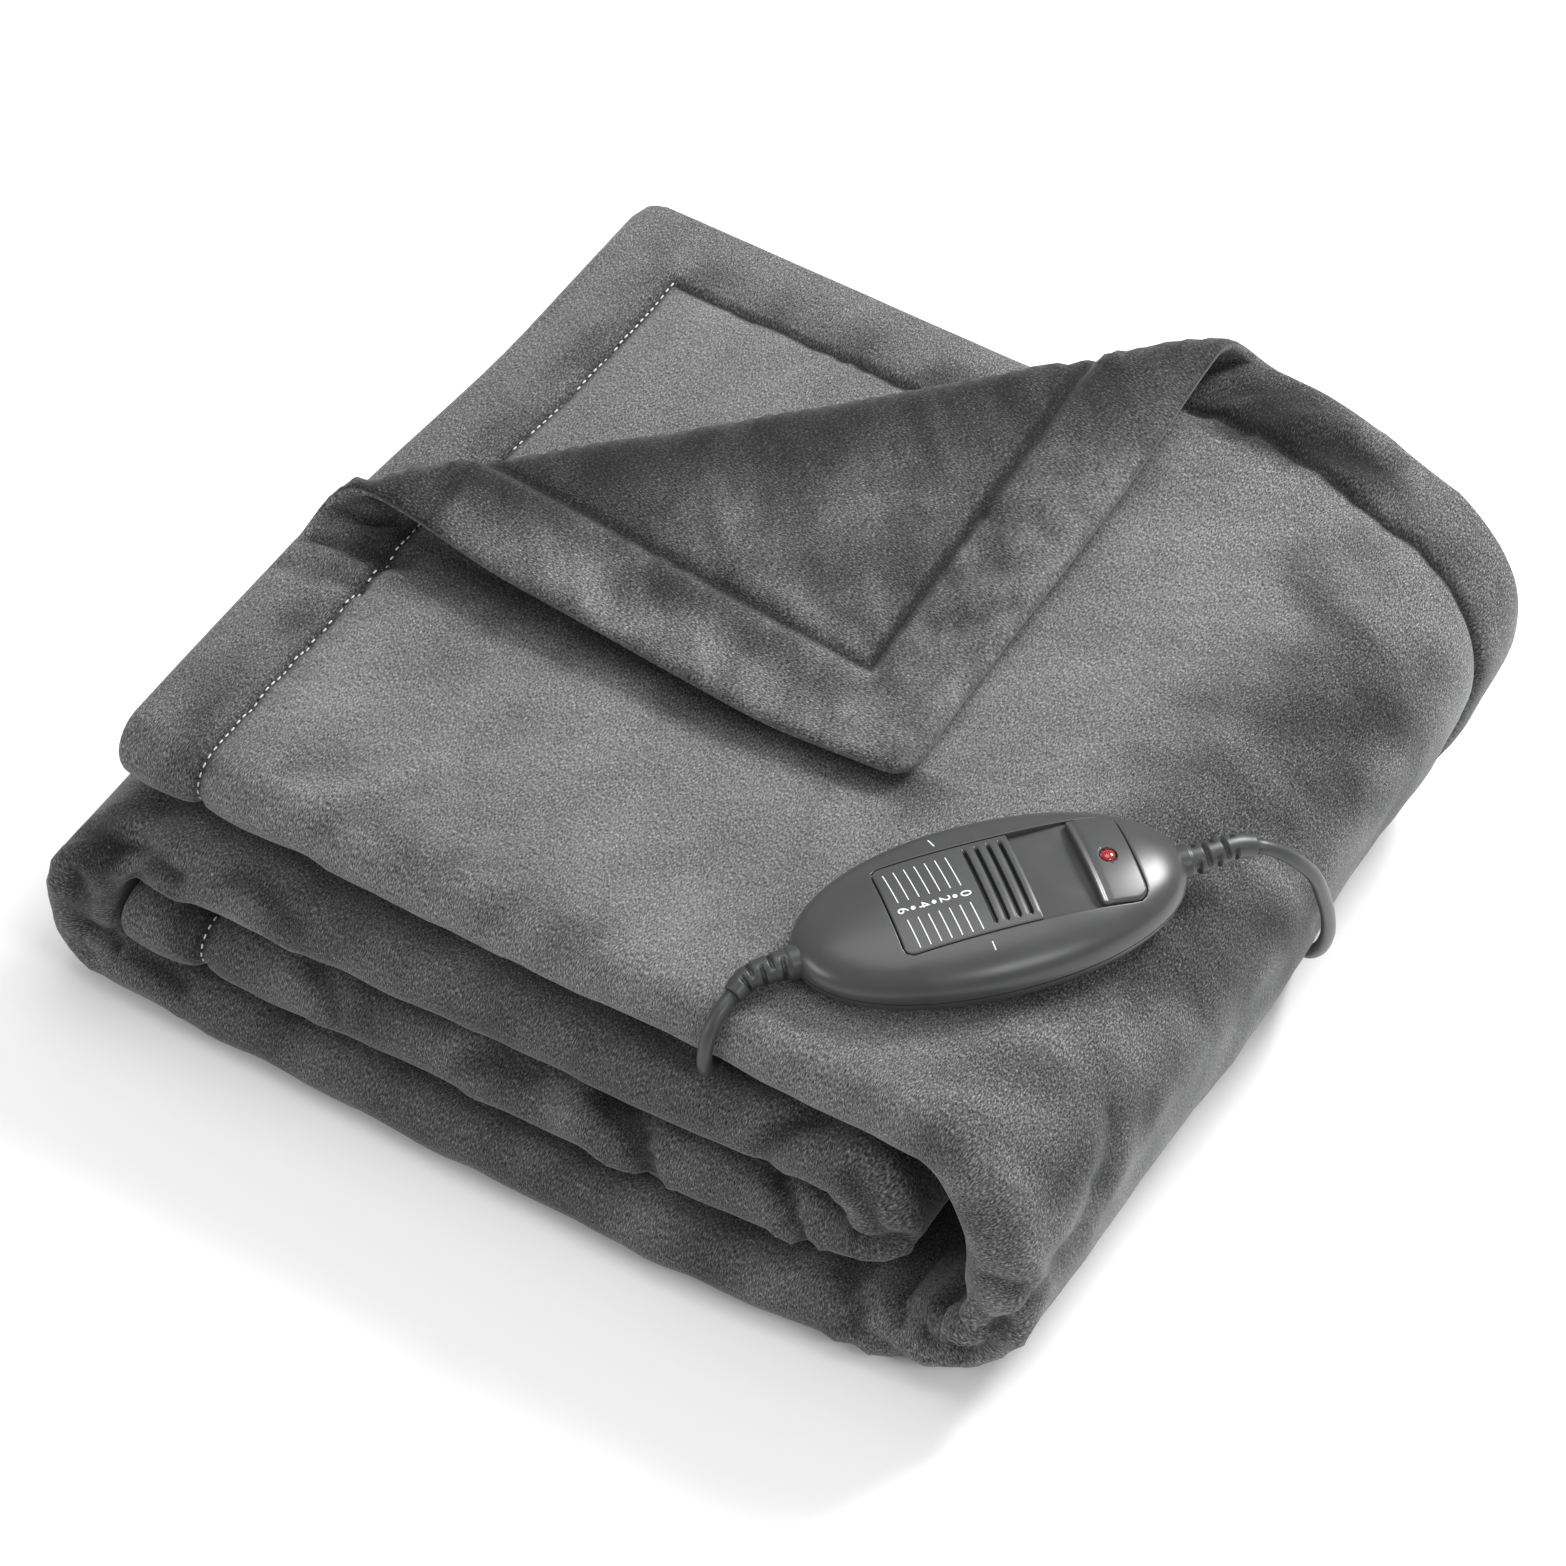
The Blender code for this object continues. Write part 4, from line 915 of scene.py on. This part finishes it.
def grained_material(name, colour, roughness, inputs=None, grain=0.00002, scale=2600.0):
    """Moulded plastic: a fine grain in its bump, a little unevenness in its gloss, and painted shade, darker where the
    shade attribute is 1.
    """
    made, tree, shader = new_material(name, colour, roughness)
    place = node(tree, "ShaderNodeTexCoord").outputs["Object"]
    fine = noise(tree, place, scale, 2.0)
    wear = noise(tree, place, 60.0, 3.0)
    gloss = maths(tree, "MULTIPLY_ADD", wear, 0.12, roughness - 0.06)
    shade = ramp(tree, wear, [(0.3, tuple(c * 0.93 for c in colour)), (0.7, tuple(c * 1.07 for c in colour))])
    # painted shade from the shade attribute: the finger grooves and the lamp's well
    recess_shade = node(tree, "ShaderNodeAttribute", attribute_name="shade").outputs["Fac"]
    left = maths(tree, "SUBTRACT", 1.0, maths(tree, "MULTIPLY", recess_shade, 0.85))
    darker = node(tree, "ShaderNodeHueSaturation", Value=left, Color=shade).outputs["Color"]
    look = {"Base Color": darker, "Roughness": gloss, "Normal": bumps(tree, fine, 0.25, grain), **(inputs or {})}
    put(tree, shader, look)
    return made


def get_finish(name):
    """The named material, made when it is first asked for."""
    found = bpy.data.materials.get("finish_" + name)
    if found:
        return found
    look = bpy.context.scene.controller_look
    # colour, roughness, other inputs of the shader, and depth and scale of a coarser grain
    table = {
        "case": (tuple(look.case_colour), 0.31),
        "slider": (tuple(c * 1.15 for c in look.case_colour), 0.34),
        "rubber": ((0.038, 0.039, 0.040), 0.40, {}, 0.00003, 1800.0),
        "print": ((0.78, 0.79, 0.8), 0.5),
        "thread": ((0.55, 0.55, 0.54), 0.8),
        "pin": ((0.72, 0.69, 0.63), 0.28, {"Metallic": 1.0}),
        "lamp": (tuple(look.lamp_colour), 0.12, {"Coat Weight": 1.0}),
    }
    made = plush_material() if name == "plush" else grained_material(name, *table[name])
    made.name = "finish_" + name
    return made


# ---- settings and operators ----
class BlanketSettings(bpy.types.PropertyGroup):
    stitches: bpy.props.BoolProperty(name="Stitches", description="Sew the hem with visible thread", default=True)


class ControllerLook(bpy.types.PropertyGroup):
    case_colour: bpy.props.FloatVectorProperty(
        name="Case colour", description="Colour of the controller's case",
        subtype="COLOR", size=3, min=0, max=1, default=(0.049, 0.0495, 0.0505),
    )
    lamp_colour: bpy.props.FloatVectorProperty(
        name="Lamp colour", description="Colour of the indicator lamp",
        subtype="COLOR", size=3, min=0, max=1, default=(0.30, 0.006, 0.010),
    )


class StageSettings(bpy.types.PropertyGroup):
    key_power: bpy.props.FloatProperty(
        name="Key light", description="Power of the main lamp over the object", subtype="POWER", default=46.0, min=0.0
    )
    fill: bpy.props.FloatProperty(name="Fill", description="Brightness of the room", default=0.42, min=0.0)


# Lamps over the object: name, place, the point it is aimed at, share of the key light's power, length and width.
LIGHTS = (
    ("key", (0.5, 1.25, 1.35), (0.0, 0.0, 0.05), 1.0, (0.7, 0.5)),
    ("top", (-0.2, 0.1, 1.8), (0.0, 0.0, 0.05), 0.25, (1.2, 1.2)),
    ("front", (-0.9, -1.3, 0.75), (0.0, 0.0, 0.05), 0.17, (1.0, 0.35)),
    ("side", (1.2, -0.5, 1.05), (0.1, -0.05, 0.1), 0.11, (0.45, 0.45)),
)


def area_light(name, place, aim, power, size):
    data = bpy.data.lights.new(name, "AREA")
    data.shape = "RECTANGLE"
    data.size, data.size_y = size
    data.energy = power
    obj = add_object(name, data)
    way = np.array(aim, float) - np.array(place, float)
    obj.location = place
    obj.rotation_euler = (math.acos(-way[2] / np.linalg.norm(way)), 0.0, math.atan2(way[1], way[0]) - math.pi / 2)


class STAGE_OT_make(bpy.types.Operator):
    """Camera, floor and lights"""

    bl_idname = "heated_blanket.stage"
    bl_label = "Make stage"

    def execute(self, context):
        scene = context.scene
        settings = scene.blanket_stage
        a, e = math.radians(AZIMUTH), math.radians(ELEVATION)
        ahead = np.array([-math.sin(a) * math.cos(e), math.cos(a) * math.cos(e), -math.sin(e)])
        data = bpy.data.cameras.new("camera")
        data.lens = LENS
        data.sensor_width = 36.0
        data.clip_start, data.clip_end = 0.05, 50.0
        camera = add_object("camera", data)
        camera.location = TARGET - ahead * DISTANCE
        camera.rotation_euler = (math.pi / 2 - e, 0.0, a)
        scene.camera = camera
        white = new_material("floor", (0.96, 0.96, 0.96), 0.9)[0]
        corners = [(x * 6000.0, y * 6000.0, 0) for x, y in ((-1, -1), (1, -1), (1, 1), (-1, 1))]
        make_mesh("floor", corners, [(0, 1, 2, 3)], white, False)
        world = bpy.data.worlds.new("room")
        world.use_nodes = True
        background = world.node_tree.nodes["Background"]
        background.inputs["Color"].default_value = (1.0, 1.0, 1.0, 1.0)
        background.inputs["Strength"].default_value = settings.fill
        scene.world = world
        scene.view_settings.view_transform = "Standard"
        for name, place, aim, share, size in LIGHTS:
            area_light(name, place, aim, settings.key_power * share, size)
        return {"FINISHED"}


def finished(obj, body="set"):
    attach(obj, body)
    return obj


class CORDS_OT_make(bpy.types.Operator):
    """The blanket's lead and the mains cord, its coil included"""

    bl_idname = "heated_blanket.cords"
    bl_label = "Make cords"

    def execute(self, context):
        rubber = get_finish("rubber")
        path = smooth_route(LEAD_ROUTE, 2.0) - ORIGIN
        lead = tube_shape("lead_to_blanket", path, lambda along, angle: CORD_R, rubber)
        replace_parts(finished(lead), "lead_blanket_side")
        path = smooth_route(np.concatenate([MAINS_ROUTE, coil_route(), PLUG_ROUTE]), 4.0) - ORIGIN
        cord = tube_shape("mains_cord", path, lambda along, angle: CORD_R, rubber)
        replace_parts(finished(cord), "lead_mains_side", "coil_mains_side", "lead_plug_side")
        return {"FINISHED"}


class CLOTH_OT_make(bpy.types.Operator):
    """The folded cloth and the thread of its hem"""

    bl_idname = "heated_blanket.cloth"
    bl_label = "Make blanket"

    def execute(self, context):
        cloth = finished(blanket_shape(get_finish("plush")))
        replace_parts(cloth, "blanket")
        if context.scene.blanket_settings.stitches:
            finished(stitch_shape(get_finish("thread")))
        return {"FINISHED"}


def figure_shape(figure):
    """Points and faces of one digit in Blender's own typeface."""
    data = bpy.data.curves.new("figure", "FONT")
    data.body = figure
    data.size = 5.2
    data.align_x = data.align_y = "CENTER"
    holder = add_object("figure", data)
    source = holder.evaluated_get(bpy.context.evaluated_depsgraph_get()).to_mesh()
    points = np.empty(len(source.vertices) * 3, np.float32)
    source.vertices.foreach_get("co", points)
    faces = [list(p.vertices) for p in source.polygons]
    bpy.data.objects.remove(holder)
    return points.reshape(-1, 3), faces


def circle(length, width, radius, points):
    angle = round_turn(points)
    return length + radius * np.cos(angle), width + radius * np.sin(angle)


class CASE_OT_make(bpy.types.Operator):
    """The controller's case, slider, lamp and printing"""

    bl_idname = "heated_blanket.controller"
    bl_label = "Make controller"

    def execute(self, context):
        case = get_finish("case")
        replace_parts(finished(cover_shape(case)), "controller_cover")
        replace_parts(finished(base_shape(case)), "controller_base")
        grooves = [GROOVES[0] + GROOVES[1] * n + np.linspace(-1.0, 1.0, 11) for n in range(4)]
        under = RECESS_FLOOR - 0.3
        finish = get_finish("slider")
        # groove_cut shapes the grooves and paints shade into them
        slider = plate_shape("slide_plate", SLIDER, (3.2, 0.6), slider_top, under, finish, grooves, groove_cut)
        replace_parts(finished(slider, "slide"), "slider")
        well = [LAMP_AT[0] + np.linspace(-3.3, 3.3, 33)]
        # lamp_well shapes the well and paints shade into it
        block = plate_shape("lamp_housing", LAMP_BLOCK, (1.6, 5.0), lamp_top, 6.0, case, well, lamp_well, 0.9)
        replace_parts(finished(block), "lamp_block")
        top = dome_height(*LAMP_AT) - 0.2
        rings = []
        for tilt, sunk in ((0, 1.2), (0, 0), (20, 0), (40, 0), (60, 0), (78, 0)):
            a = math.radians(tilt)
            l, w = circle(*LAMP_AT, LAMP_R * math.cos(a), 32)
            rings.append(np.stack([l, w, np.full(32, top + 1.5 * math.sin(a) - sunk)], -1))
        lamp = closed_rings("lamp_lens", [case_frame(r) for r in rings], get_finish("lamp"), flip=True)
        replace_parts(finished(lamp), "lamp")
        self.printing()
        return {"FINISHED"}

    def printing(self):
        """Tick lines in two rows, numbers and dots between them, and a mark on each side of the case."""
        white = get_finish("print")
        at = [-31.0 + 3.6 * n for n in range(7)]
        rows = ((15.0, 1.6), (-6.1, -17.4))
        bars = [((l - 0.06 * (a + 2), a), (l - 0.06 * (b + 2), b), -0.06) for a, b in rows for l in at]
        points, faces = strip(bars, 0.16)
        finished(make_mesh("scale_lines", case_frame(points), faces, white, False), "slide")
        points, faces = strip([((-12.3, 26.4), (-11.7, 22.0), 0.03), ((-7.3, -22.4), (-7.1, -25.4), 0.03)], 0.2)
        finished(make_mesh("setting_marks", case_frame(points), faces, white, False), "set")
        for figure, l in zip("6420", at[::2]):
            points, faces = figure_shape(figure)
            points = on_dome(l + points[:, 1], FIGURES_W - points[:, 0], -0.05)
            finished(make_mesh("figure_" + figure, case_frame(points), faces, white, False), "slide")
        points = np.concatenate([on_dome(*circle(l, FIGURES_W, 0.8, 16), -0.05) for l in at[1::2]])
        faces = np.arange(len(points)).reshape(-1, 16)
        finished(make_mesh("scale_dots", case_frame(points), faces, white, False), "slide")


class BOOTS_OT_make(bpy.types.Operator):
    """The ribbed boots at the two ends of the case"""

    bl_idname = "heated_blanket.boots"
    bl_label = "Make boots"

    def execute(self, context):
        turn = math.radians(CASE_TURN)
        case_point = lambda along: (CASE_AT[0] + along * math.cos(turn), CASE_AT[1] + along * math.sin(turn), REST_Z)
        routes = {
            "boot_blanket_side": (case_point(-63.1), case_point(-74.0), (242.2, 14.0, 116.5), (240.8, 7.5, 114.4)),
            "boot_mains_side": (case_point(63.1), case_point(74.0), (348.5, 146.5, 117.0), (353.0, 152.0, 115.2)),
        }
        for name, route in routes.items():
            path = smooth_route(route, 0.35) - ORIGIN

            def radius(along, angle, whole=lengths_along(path)[-1]):
                """A slow taper, less a round-bottomed cut every 3.5 mm that stops short of two opposite ribs."""
                part = along / whole
                size = BOOT_R - 0.4 * smooth((along - 6.4) / 0.5) - 1.7 * part**1.5
                rib = (along - 8.6) / 3.5
                ribbed = smooth((along - 7.0) / 0.4) * smooth((24.4 - along) / 0.4)
                cut = smooth((np.cos(2 * math.pi * rib) + 0.1) / 0.4) * ribbed
                turn_every = np.where(np.floor(rib + 0.5) % 2 == 0, 0.3, 0.3 + math.pi / 2)
                open_side = smooth((np.cos(2 * (angle - turn_every)) + 0.45) / 0.25)
                return size - 1.7 * cut * open_side

            boot = tube_shape(name + "_sleeve", path, radius, get_finish("rubber"), sides=32)
            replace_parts(finished(boot), name)
        return {"FINISHED"}


class PLUG_OT_make(bpy.types.Operator):
    """Finishes for the plug, its pins and the band round the coil"""

    bl_idname = "heated_blanket.plug"
    bl_label = "Finish plug"

    def execute(self, context):
        finishes = {"plug_body": "rubber", "plug_pin_1": "pin", "plug_pin_2": "pin", "coil_tie": "rubber"}
        for name, finish in finishes.items():
            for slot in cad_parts[name].material_slots:
                slot.material = get_finish(finish)
        return {"FINISHED"}


class PANEL_PT_blanket(bpy.types.Panel):
    """The steps in the order they are run"""

    bl_label = "Heated blanket"
    bl_idname = "PANEL_PT_blanket"
    bl_space_type = "VIEW_3D"
    bl_region_type = "UI"
    bl_category = "Heated blanket"

    def draw(self, context):
        for name, group in SETTINGS.items():
            for key in group.__annotations__:
                self.layout.prop(getattr(context.scene, name), key)
        for name in STEPS:
            self.layout.operator("heated_blanket." + name)


STEPS = ("stage", "cords", "cloth", "controller", "boots", "plug")
SETTINGS = {"blanket_stage": StageSettings, "blanket_settings": BlanketSettings, "controller_look": ControllerLook}
OPERATORS = (STAGE_OT_make, CORDS_OT_make, CLOTH_OT_make, CASE_OT_make, BOOTS_OT_make, PLUG_OT_make)
CLASSES = (*SETTINGS.values(), *OPERATORS, PANEL_PT_blanket)


def register():
    for item in CLASSES:
        bpy.utils.register_class(item)
    for name, group in SETTINGS.items():
        setattr(bpy.types.Scene, name, bpy.props.PointerProperty(type=group))


def unregister():
    for name in SETTINGS:
        delattr(bpy.types.Scene, name)
    for item in reversed(CLASSES):
        bpy.utils.unregister_class(item)


def main():
    register()
    for name in STEPS:
        getattr(bpy.ops.heated_blanket, name)()


if __name__ == "__main__":
    main()
